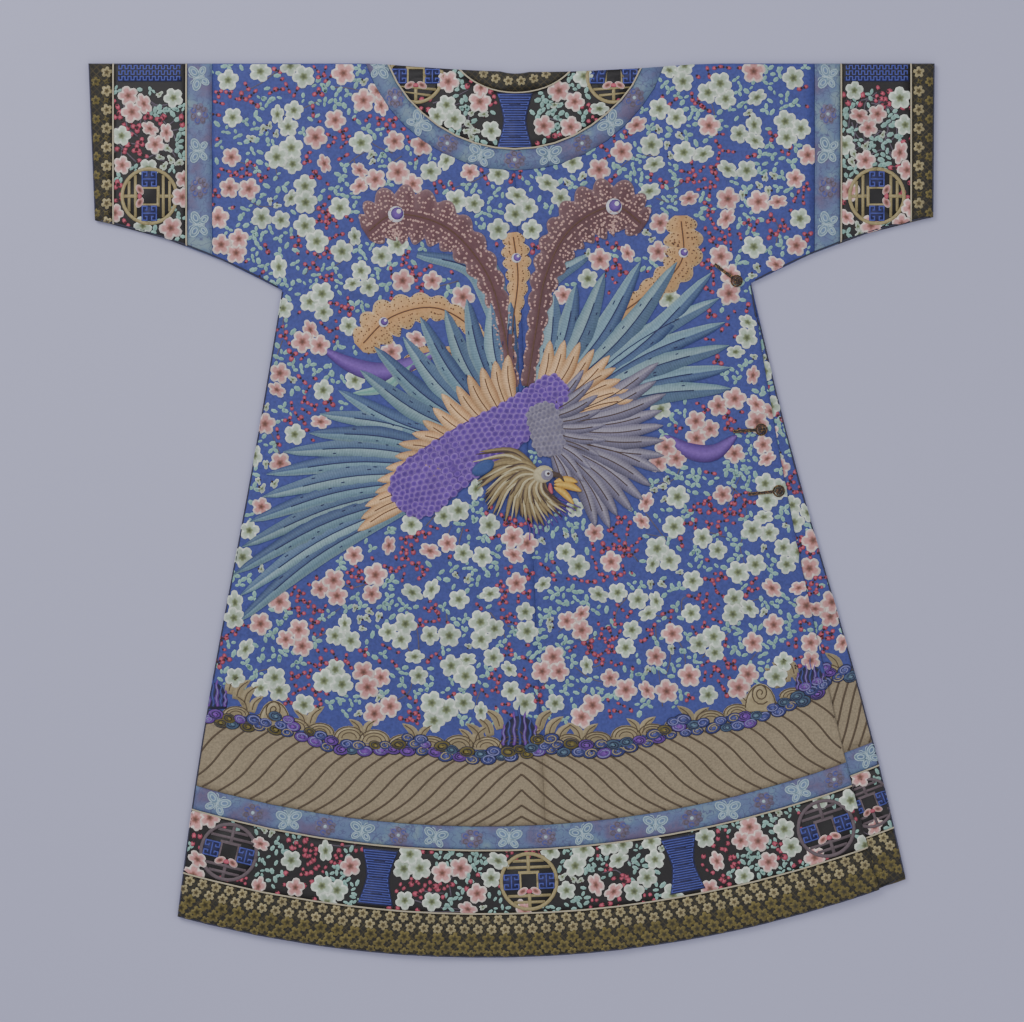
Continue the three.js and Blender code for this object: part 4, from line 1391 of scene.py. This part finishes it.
class ROBE_OT_waters(bpy.types.Operator):
    """Embroiders the striped water, the clouds, the crests and the rocks above the hem"""
    bl_idname = "robe.waters"
    bl_label = "Waters"

    hem_ends = (-520, 560)  # how far left and right the crests and the clouds may go
    rocks = ((CENTRE_X - 3, 30), (-462, 24), (462, 24))  # place and half width
    curl_places = (-367, 385)
    # Heights above the hem.
    crest_base = WATER_TOP + 17
    rock_base = WATER_TOP + 22
    cloud_rows = (WATER_TOP + 4, WATER_TOP + 14, WATER_TOP + 23)
    crest_pitch, cloud_pitch = 43, 20.5
    steps = 30  # points along a stripe, less one

    def execute(self, context):
        for name in ("ground", "lapel", "front"):
            lift = RISES.get(name, 0)
            work = Embroidery(surfaces[name])
            left, right = work.surface.box[:2]
            if name == "lapel":
                self.stripes(work, left - 60, lift, pitch=16, sways=(34, 38), away=-1)
            else:
                left, right = max(left, self.hem_ends[0]), min(right, self.hem_ends[1])
                self.stripes(work, CENTRE_X, lift, pitch=26, sways=(152, 96), away=1)
                for x, wide in self.rocks:
                    self.rock(work, x, wide, lift)
            self.crests(work, left, right, lift)
            self.clouds(work, left, right, lift)
            work.finish(f"embroidered_waters_{name}", "ground")
        return {"FINISHED"}

    def stripes(self, work, axis, lift, pitch, sways, away):
        """Slanted lines of gold thread, mirrored about the axis, steeper away from it."""
        for side in (-1, 1):
            for k in range(-7, 26):
                sway = lerp(*sways, max(0, k) / 20)
                route = []
                before = None
                for j in range(self.steps + 1):
                    t = j / self.steps
                    height = lerp(RIBBON_TOP + 1, WATER_TOP + 6, t) + lift
                    lean = sway * (t + 0.045 * math.sin(math.tau * t))
                    off = k * pitch + sway * 0.5 - away * lean
                    # A line that comes to the axis ends on it, against its mirror image.
                    if off < 0 and before and before[0] > 0:
                        height = lerp(before[1], height, before[0] / (before[0] - off))
                        route.append((axis, above_hem(axis, height)))
                    elif off >= 0:
                        route.append((axis + side * off, above_hem(axis + side * off, height)))
                    before = (off, height)
                inside = [p for p in route if work.covers(*p)]
                if len(inside) > 2:
                    bm = new_motif()
                    strip(bm, "water_line", inside, 3.0, 0.35)
                    work.lay(bm, middle=inside[len(inside) // 2])

    def crests(self, work, left, right, lift):
        """Low fans of water, with leaf-shaped splashes between them and two tall curls."""
        pitch = self.crest_pitch
        for k in range(int((right - left) // pitch) + 1):
            x = left + (k + 0.5) * pitch + RNG.uniform(-3, 3)
            base = above_hem(x, self.crest_base + lift)
            if not work.covers(x, base) or not work.covers(x, base + 20):
                continue
            self.crest(work, x, base, RNG.uniform(22, 26), RNG.uniform(0.62, 0.78), False)
            if k % 2:
                for side in (-1, 1):
                    self.horn(work, x + pitch / 2 + 3 * side, base + 8, side, RNG.uniform(0.9, 1.15))
        for x in self.curl_places:
            base = above_hem(x, self.crest_base + lift)
            if left < x < right and work.covers(x, base):
                self.crest(work, x, base, 25, 1.5, True)

    def crest(self, work, x, y, wide, tall, spiral):
        bm = new_motif()
        low = 0.5 if spiral else 0.0
        rings = ((1.0, 0.35 + low, 1.0), (0.6, 0.7 + low, 0.5))
        disc(bm, "water_sand", wide, 18, rings, squash=tall, outline=upper_half)
        shares = (0.45, 0.7, 0.93)
        if spiral:
            curl = [(r * math.cos(a), wide * 0.6 * tall + r * math.sin(a) * 1.2)
                    for a, r in ((-1.2 + i * 0.52, 1.5 + wide * 0.022 * i) for i in range(26))]
            strip(bm, "water_line", curl, 1.8, 1.0 + low)
            shares = (0.94,)
        for share in shares:
            arc = ellipse(wide * share, wide * share * tall, 24)[:13]
            strip(bm, "water_line", arc, 1.4, 0.9 + low)
        work.lay(bm, x, y)

    def horn(self, work, x, y, side, size):
        """A leaf-shaped splash that curls up and out."""
        if not work.covers(x, y) or not work.covers(x + side * 22 * size, y + 22 * size):
            return
        bm = new_motif()
        route = through(((0, -4), (side * 5 * size, 12 * size), (side * 20 * size, 23 * size)), 9)
        leaf = lambda t: size * 13 * math.sin(math.pi * min(1, 0.25 + t * 0.75)) ** 0.8 + 0.6
        strip(bm, "water_sand", route, leaf, ridge=True)
        strip(bm, "water_line", route[1:-1], 1.5, 0.75)
        work.lay(bm, x, y, lift=0.2)

    def cloud(self, name, line):
        """A cloud curl: dark rim, coloured body and a curl of another colour."""
        bm = new_motif()
        disc(bm, "cloud_line", 12.6, 12, dome(0.7), squash=0.68)
        disc(bm, name, 11.2, 12, ((1.0, 0.85, 1.0), (0.55, 1.15, 0.45)), squash=0.66, lift=0.1)
        turns = ((i * 0.62, 9.6 - 0.42 * i) for i in range(19))
        curl = [(r * math.cos(a), r * 0.66 * math.sin(a)) for a, r in turns]
        strip(bm, line, curl, 1.5, 1.25)
        return as_mesh(bm, name)

    def clouds(self, work, left, right, lift):
        """Rows of cloud curls along the top of the water, higher where they swell."""
        dyes = (("cloud_purple", "cloud_line"), ("cloud_purple", "cloud_pale"), ("cloud_blue", "cloud_pale"),
                ("cloud_blue", "fret_gold"), ("cloud_teal", "cloud_line"), ("cloud_ochre", "cloud_line"))
        curls = [self.cloud(*pair) for pair in dyes]
        along = left
        while along < right:
            swell = math.sin(along / 33.0)
            for row, height in enumerate(self.cloud_rows):
                x = along + 10 * (row % 2) + RNG.uniform(-4, 4)
                y = above_hem(x, height + lift + 5 * swell + RNG.uniform(-2, 2))
                if work.covers(x, y) and (row < 2 or swell > 0.75):
                    turn = math.asin((x - HEM_X) / HEM_RADIUS) + RNG.choice((0, 0, math.pi))
                    turn += RNG.uniform(-0.2, 0.2)
                    work.add(RNG.choice(curls), x, y, turn, RNG.uniform(0.78, 1.12), lift=0.3 * row)
            along += self.cloud_pitch

    def rock(self, work, x, wide, lift):
        """Pillars of striped rock, with a splash on each side."""
        base = above_hem(x, self.rock_base + lift)
        if not work.covers(x, base):
            return
        for side in (-1, 1):
            for k in range(3):
                out, up = side * wide * (1.0 + 0.5 * k), wide * (0.9 - 0.36 * k)
                self.horn(work, x + out, base + up, side, 1.15)
        bm = new_motif()
        disc(bm, "cloud_line", wide * 0.98, 18, dome(0.8), squash=1.5, outline=upper_half)
        for k in range(-3, 4):
            tall = wide * (2.1 - 0.34 * abs(k))
            sway = [(k * wide * 0.27 + 1.2 * math.sin(j * 1.3 + k), tall * j / 10 - 2) for j in range(11)]
            pillar = lambda t: wide * 0.24 * (1 - t) ** 0.35 + 0.5
            strip(bm, ("cloud_blue", "cloud_purple")[k % 2], sway, pillar, 1.2, ridge=True)
            strip(bm, "cloud_pale" if k % 2 else "fret_blue", sway[1:-2], 1.0, 1.8)
        work.lay(bm, x, base)


class ROBE_OT_blossoms(bpy.types.Operator):
    """Scatters plum blossoms, buds and leaves over the blue ground"""
    bl_idname = "robe.blossoms"
    bl_label = "Blossoms"

    # How far the blossoms keep from the clouds, the cuffs' borders and the bird.
    above_clouds, off_cuff, off_bird = 26, 6, 7
    # How many places are tried for blossoms and for twigs.
    tries = 9000
    twigs = {"ground": 150, "front": 150, "lapel": 4}

    def execute(self, context):
        size = sizes().blossom / MM
        spacing = sizes().spacing / MM
        bird = surfaces["bird"]
        for name in ("ground", "front", "lapel"):
            lowest = CLOUD_TOP + self.above_clouds + RISES.get(name, 0)

            def keep_off(x, y):
                if hem_height(x, y) < lowest or (y > 0 and abs(x) > CUFF_RIBBON - self.off_cuff):
                    return True
                near = ((x, y), *cross(x, y, self.off_bird))
                return name == "ground" and any(bird.covers(*p) for p in near)
            work = Embroidery(surfaces[name])
            add_twigs(work, self.twigs[name], keep_off)
            flowers = sow_blossoms(work, keep_off, spacing, size, self.tries)
            work.finish(f"embroidered_blossoms_{name}", "ground")
            sprigs = Embroidery(surfaces[name])
            apart = FRONT_SPRIG_SPACING if name == "front" else SPRIG_SPACING
            fill_between(sprigs, keep_off, flowers, size, apart)
            sprigs.finish(f"embroidered_sprigs_{name}", "ground")
        return {"FINISHED"}


class ROBE_OT_border_work(bpy.types.Operator):
    """Embroiders the black borders with blossoms, fret roundels and fret columns"""
    bl_idname = "robe.border_work"
    bl_label = "Border embroidery"

    # The borders' blossoms: their size, the distance between their clusters, and how many places are
    # tried for them and for twigs.
    blossom, spacing, tries, twigs = 35, 54, 2500, 90

    def execute(self, context):
        # Each figure with half the width and height that it keeps free of blossoms.
        figures = {
            "gold": (as_mesh(self.roundel("fret_gold"), "roundel"), 42, 42),
            "mauve": (as_mesh(self.roundel("fret_mauve"), "roundel"), 42, 42),
            "column": (as_mesh(self.column(), "column"), 32, 46),
            "band": (as_mesh(self.fret_band(), "fret_band"), 58, 26),
        }
        middle = (GOLD_TOP + BROCADE_TOP) / 2
        # Each figure's kind, its place and turn, and its size.
        places = {
            "hem_brocade": (
                ("mauve", on_hem(-400, middle), 1.0),
                ("column", on_hem(-166, middle), 1.0),
                ("gold", on_hem(68, middle), 1.0),
                ("column", on_hem(308, middle), 1.0),
                ("mauve", on_hem(536, middle), 1.0),
            ),
            "lapel_brocade": (("mauve", on_hem(608, middle + LAPEL_RISE), 0.86),),
            "neck_brocade": (
                ("gold", (-148, 672, 0.0), 0.95),
                ("column", on_neck(0, 166), 1.0),
                ("gold", (158, 672, 0.0), 0.95),
            ),
            "cuff_brocade_left": (
                ("gold", (-560, 486, -math.pi / 2), 0.98),
                ("band", (-560, SHOULDER - 15, 0.0), 1.0),
            ),
            "cuff_brocade_right": (
                ("gold", (565, 486, math.pi / 2), 0.98),
                ("band", (565, SHOULDER - 15, 0.0), 1.0),
            ),
        }
        for node in BROCADE_NODES:
            work = Embroidery(surfaces[node])
            taken = []
            for kind, (x, y, turn), size in places[node]:
                figure, half_wide, half_tall = figures[kind]
                taken.append((x, y, half_wide * size, half_tall * size))
                if work.covers(x, y):
                    work.add(figure, x, y, turn, size)

            def keep_off(x, y):
                return any(abs(x - cx) < wide and abs(y - cy) < tall for cx, cy, wide, tall in taken)
            add_twigs(work, self.twigs, keep_off)
            flowers = sow_blossoms(work, keep_off, self.spacing, self.blossom, self.tries)
            fill_between(work, keep_off, flowers, self.blossom, SPRIG_SPACING)
            work.finish(f"embroidered_{node}", "brocade")
        return {"FINISHED"}

    def roundel(self, name):
        """A ring with a coin lattice in it, a fret square on each side and a small flower below."""
        bm = new_motif()
        disc(bm, "black_silk", 46, 28, dome(0.25))
        strip(bm, name, ellipse(43, 43, 32), 5.4, 0.95)
        square = [(14, 0), (14, 14), (-14, 14), (-14, -14), (14, -14), (14, 0)]
        strip(bm, name, square, 4.6, 0.85)
        for side in (-1, 1):
            strip(bm, name, [(0, side * 13), (0, side * 42)], 5.2, 0.8)
            for y, half in ((22, 33), (32, 24)):
                strip(bm, name, [(-half, side * y), (half, side * y)], 4.4, 0.7)
            self.fret_square(bm, side * 27, 0, 12.5)
        flower = (("pink_petal", -10, 9, 0.5), ("pink_petal", 10, 9, -0.5), ("bud_red", 0, 6, 0))
        for petal, x, radius, turn in flower:
            rings = ((1.0, 1.2, 1.0), (0.5, 1.5, 0.3))
            disc(bm, petal, radius, 12, rings, x=x, y=-15, squash=0.6, turn=turn)
        return bm

    def fret_square(self, bm, x, y, half):
        """A key fret of four hooks about an upright, on a square plate."""
        plate = [(x - half, y), (x, y), (x + half, y)]
        strip(bm, "fret_ground", plate, half * 2, 0.95)
        step = half / 3.4
        for sx, sy in ((1, 1), (-1, 1), (1, -1), (-1, -1)):
            hook = ((0.0, 3.0), (3.0, 3.0), (3.0, 1.0), (1.4, 1.0), (1.4, 1.9))
            route = [(x + sx * a * step, y + sy * b * step) for a, b in hook]
            strip(bm, "fret_blue", route, 1.9, 1.3)
        strip(bm, "fret_blue", [(x, y - 3 * step), (x, y), (x, y + 3 * step)], 1.9, 1.3)

    def fret_band(self):
        """A low panel of three rows of running fret."""
        bm = new_motif()
        strip(bm, "fret_ground", [(lerp(-50, 50, i / 8), 0) for i in range(9)], 27, 0.6)
        for row in (-8.6, 0, 8.6):
            route = []
            for i in range(21):
                x = lerp(-47, 47, i / 20)
                route += [(x, row - 2.7), (x, row + 2.7)] if i % 2 else [(x, row + 2.7), (x, row - 2.7)]
            strip(bm, "fret_blue", route, 1.7, 0.95)
        return bm

    def column(self):
        """A waisted column of running fret."""
        bm = new_motif()
        waist = lambda t: 36 + 20 * abs(2 * t - 1) ** 1.4
        strip(bm, "fret_ground", [(0, lerp(-43, 43, i / 12)) for i in range(13)], waist, 0.6)
        count = 22
        route = []
        for i in range(count):
            y = lerp(-40, 40, i / (count - 1))
            reach = waist(i / (count - 1)) / 2 - 3
            side = 1 if i % 2 else -1
            route += [(-side * reach, y), (side * reach, y)]
        strip(bm, "fret_blue", route, 1.6, 0.95)
        for y in (-26, 0, 26):
            strip(bm, "fret_ground", [(-9, y), (9, y)], 3.0, 1.1)
        return bm


class ROBE_OT_gold_work(bpy.types.Operator):
    """Weaves rows of small gold blossoms into the gold borders"""
    bl_idname = "robe.gold_work"
    bl_label = "Gold brocade"

    # Rows of figures. At the hem: height, pitch, shift by a share of the pitch, kind and size.
    # The lower rows take the darker gold, as painted shade towards the hem.
    hem_rows = (
        (59, 21, 0, "gold_bright", 8.2),
        (44, 21, 0.5, "gold_bright", 8.2),
        (29, 26, 0.2, "gold_dim", 10.2),
        (15, 26, 0.7, "gold_dim", 10.2),
        (5, 26, 0.2, "gold_dim", 7.5),
    )
    # At the neck: radius, shift and kind. At the cuffs: distance from the middle, shift, kind and size.
    # The neck's inner row and the cuffs' outer row take the darker gold, as painted shade towards the edge.
    neck_rows = ((89, 0, "gold_dim"), (105, 0.5, "gold_bright"))
    cuff_rows = ((626, 0, "gold_bright", 9.0), (643, 0.5, "gold_dim", 7.6), (627, 0.5, "star", 6.0))
    neck_pitch, neck_size = 20, 7.6
    cuff_start, cuff_pitch = 14, 29  # from the shoulder to the first, and from one to the next
    right_shift = 4  # the right cuff lies that much farther from the middle

    def execute(self, context):
        kinds = {name: as_mesh(small_blossom(name), name) for name in ("gold_bright", "gold_dim")}
        bm = new_motif()
        # Of the star's eight corners, every other one is drawn in.
        points = lambda angle: 1.0 if round(angle / 0.785) % 2 else 0.36
        disc(bm, "gold_dim", 1.0, 8, ((1.0, 0.3, 0.8),), outline=points)
        kinds["star"] = as_mesh(bm, "star")
        for node in GOLD_NODES:
            work = Embroidery(surfaces[node])
            for x, y, turn, kind, size in self.places(node):
                if work.covers(x, y):
                    work.add(kinds[kind], x, y, turn + RNG.uniform(-0.5, 0.5), size)
            work.finish(f"woven_{node}", "gold")
        return {"FINISHED"}

    def places(self, node):
        """Rows of blossoms along the border, darker in painted shade towards its edge, with stars between
        them.
        """
        part = node.split("_")[0]
        if part in ("hem", "lapel"):
            lift = RISES.get(part, 0)
            for height, pitch, shift, kind, size in self.hem_rows:
                for k in range(-30, 38):
                    yield *on_hem((k + shift) * pitch, height + lift), kind, size
        elif part == "neck":
            for radius, shift, kind in self.neck_rows:
                for k in range(-9, 10):
                    yield *on_neck((k + shift) * self.neck_pitch, radius), kind, self.neck_size
        else:
            left = node.endswith("left")
            for x, shift, kind, size in self.cuff_rows:
                for k in range(10):
                    y = SHOULDER - self.cuff_start - (k + shift) * self.cuff_pitch
                    yield -x if left else x + self.right_shift, y, 0.0, kind, size


class ROBE_OT_ribbon_work(bpy.types.Operator):
    """Weaves butterflies and dotted medallions into the ribbons"""
    bl_idname = "robe.ribbon_work"
    bl_label = "Ribbon figures"

    pitch = 57.0  # millimetres from one figure to the next
    neck_share = 0.95  # of that pitch, at the neck
    hem_start = -20  # a figure's place, along the hem from its lowest point
    cuff_start = 22  # from the shoulder to the first figure of a cuff
    cuff_places = {"left": -483, "right": 489.5}

    def execute(self, context):
        figures = [as_mesh(self.butterfly(), "butterfly"), as_mesh(self.medallion(), "medallion")]
        for node in RIBBON_NODES:
            work = Embroidery(surfaces[node])
            for k, (x, y, turn) in enumerate(self.places(node)):
                if work.covers(x, y):
                    work.add(figures[k % 2], x, y, turn + RNG.uniform(-0.25, 0.25), RNG.uniform(0.94, 1.04))
            work.finish(f"woven_{node}", "ribbon")
        return {"FINISHED"}

    def places(self, node):
        """Places and turns along the middle of the ribbon."""
        part = node.split("_")[0]
        middle = (BROCADE_TOP + RIBBON_TOP) / 2
        if part in ("hem", "lapel"):
            lift = RISES.get(part, 0)
            return [on_hem(k * self.pitch + self.hem_start, middle + lift) for k in range(-9, 13)]
        if part == "neck":
            radius = (NECK_RIBBON + NECK_END) / 2
            return [on_neck(k * self.pitch * self.neck_share, radius) for k in range(-5, 6)]
        x = self.cuff_places[node.split("_")[-1]]
        return [(x, SHOULDER - self.cuff_start - k * self.pitch, math.pi / 2) for k in range(6)]

    def butterfly(self):
        bm = new_motif()
        for side in (-1, 1):
            for cx, cy, long, wide, tilt in ((10, 6, 10, 6.2, 0.5), (8.2, -7, 7.6, 4.8, -0.7)):
                disc(bm, "butterfly_wing", long, 12, ((1.0, 0.3, 1.0), (0.5, 0.45, 0.3)), x=side * cx, y=cy,
                     squash=wide / long, turn=side * tilt)
                cos, sin = math.cos(tilt), math.sin(tilt)
                for share in (1.0, 0.52):
                    wing = [(side * (cx + u * cos - v * sin), cy + u * sin + v * cos)
                            for u, v in ellipse(long * share, wide * share, 12)]
                    strip(bm, "butterfly", wing, 1.4, 0.65)
            strip(bm, "butterfly", [(side, 8), (side * 4, 14), (side * 8, 15)], 1.1, 0.6)
        body = lambda t: 1.6 + 1.8 * math.sin(math.pi * t)
        strip(bm, "butterfly", [(0, -9), (0, 0), (0, 10)], body, 0.8, ridge=True)
        return bm

    def medallion(self):
        bm = new_motif()
        rings = ((1.0, 0.2, 1.0), (0.6, 0.35, 0.6))
        disc(bm, "medallion", 17.5, 24, rings, outline=petal_outline(8, 0.2), squash=0.86)
        for k in range(7):
            a = math.tau * k / 7
            curl = [(10.5 * math.cos(a) + 3.8 * math.cos(b), (10.5 * math.sin(a) + 3.8 * math.sin(b)) * 0.9)
                    for b in (i * 0.9 for i in range(7))]
            strip(bm, "fret_blue" if k % 2 else "fret_mauve", curl, 1.3, 0.6)
        disc(bm, "butterfly", 2.8, 8, dome(0.6))
        return bm


class ROBE_OT_stage(bpy.types.Operator):
    """Sets the floor, the lights and the camera that looks straight down"""
    bl_idname = "robe.stage"
    bl_label = "Stage"

    # Lights: place, size and power.
    lights = (
        ((-1.9, 2.1, 2.6), 1.9, 66.0),
        ((2.2, 0.6, 2.9), 2.6, 26.0),
        ((0.0, -2.4, 2.6), 2.4, 20.0),
    )
    view_centre = (0.0008, -0.0008)
    view_width = 1.5872
    camera_height = 4.6
    sensor = 36.0
    floor_drop = 0.0002  # keeps the floor clear of the robe's underside
    floor_half = 6.0
    sky_colour, sky_strength = (0.86, 0.87, 0.92, 1), 0.5

    def execute(self, context):
        bm = bmesh.new()
        bmesh.ops.create_grid(bm, x_segments=1, y_segments=1, size=self.floor_half)
        bmesh.ops.translate(bm, verts=bm.verts, vec=(0, 0, -self.floor_drop))
        floor = add_object("floor", as_mesh(bm, "floor"))
        shading = Shading("floor_paper", 0.9, sheen=0.0)
        colour = shading.uneven(linear(chosen("floor")), 3.0, 2.0, 0.01)
        floor.data.materials.append(shading.finish(colour))
        for place, size, power in self.lights:
            light = add_object("softbox", bpy.data.lights.new("softbox", "AREA"))
            light.data.size = size
            light.data.energy = power
            light.location = place
            light.rotation_euler = (-Vector(place)).to_track_quat("-Z", "Y").to_euler()
        world = bpy.data.worlds.new("studio")
        world.use_nodes = True
        sky = world.node_tree.nodes["Background"].inputs
        sky["Color"].default_value = self.sky_colour
        sky["Strength"].default_value = self.sky_strength
        bpy.context.scene.world = world
        camera = add_object("camera", bpy.data.cameras.new("camera"))
        camera.location = (*self.view_centre, self.camera_height)
        camera.data.sensor_width = self.sensor
        camera.data.lens = self.sensor * self.camera_height / self.view_width
        camera.data.clip_end = 50.0
        bpy.context.scene.camera = camera
        return {"FINISHED"}


PIECES = (
    ROBE_OT_ground, ROBE_OT_front, ROBE_OT_lapel, ROBE_OT_borders, ROBE_OT_piping, ROBE_OT_fastenings,
    ROBE_OT_edges, ROBE_OT_bird, ROBE_OT_waters, ROBE_OT_blossoms, ROBE_OT_border_work, ROBE_OT_gold_work,
    ROBE_OT_ribbon_work, ROBE_OT_stage,
)


class ROBE_PT_panel(bpy.types.Panel):
    """Lists the robe's pieces and settings"""
    bl_label = "Silk robe"
    bl_space_type = "VIEW_3D"
    bl_region_type = "UI"
    bl_category = "Robe"

    def draw(self, context):
        for group in (context.scene.robe_sizes, context.scene.robe_colours):
            for name in group.__annotations__:
                self.layout.prop(group, name)
        for piece in PIECES:
            self.layout.operator(piece.bl_idname)


CLASSES = (RobeSizes, RobeColours, *PIECES, ROBE_PT_panel)


def register():
    for cls in CLASSES:
        bpy.utils.register_class(cls)
    bpy.types.Scene.robe_sizes = PointerProperty(type=RobeSizes)
    bpy.types.Scene.robe_colours = PointerProperty(type=RobeColours)


def unregister():
    del bpy.types.Scene.robe_colours
    del bpy.types.Scene.robe_sizes
    for cls in reversed(CLASSES):
        bpy.utils.unregister_class(cls)


def main():
    register()
    for piece in PIECES:
        group, name = piece.bl_idname.split(".")
        getattr(getattr(bpy.ops, group), name)()
    bpy.context.view_layer.update()


if __name__ == "__main__":
    main()
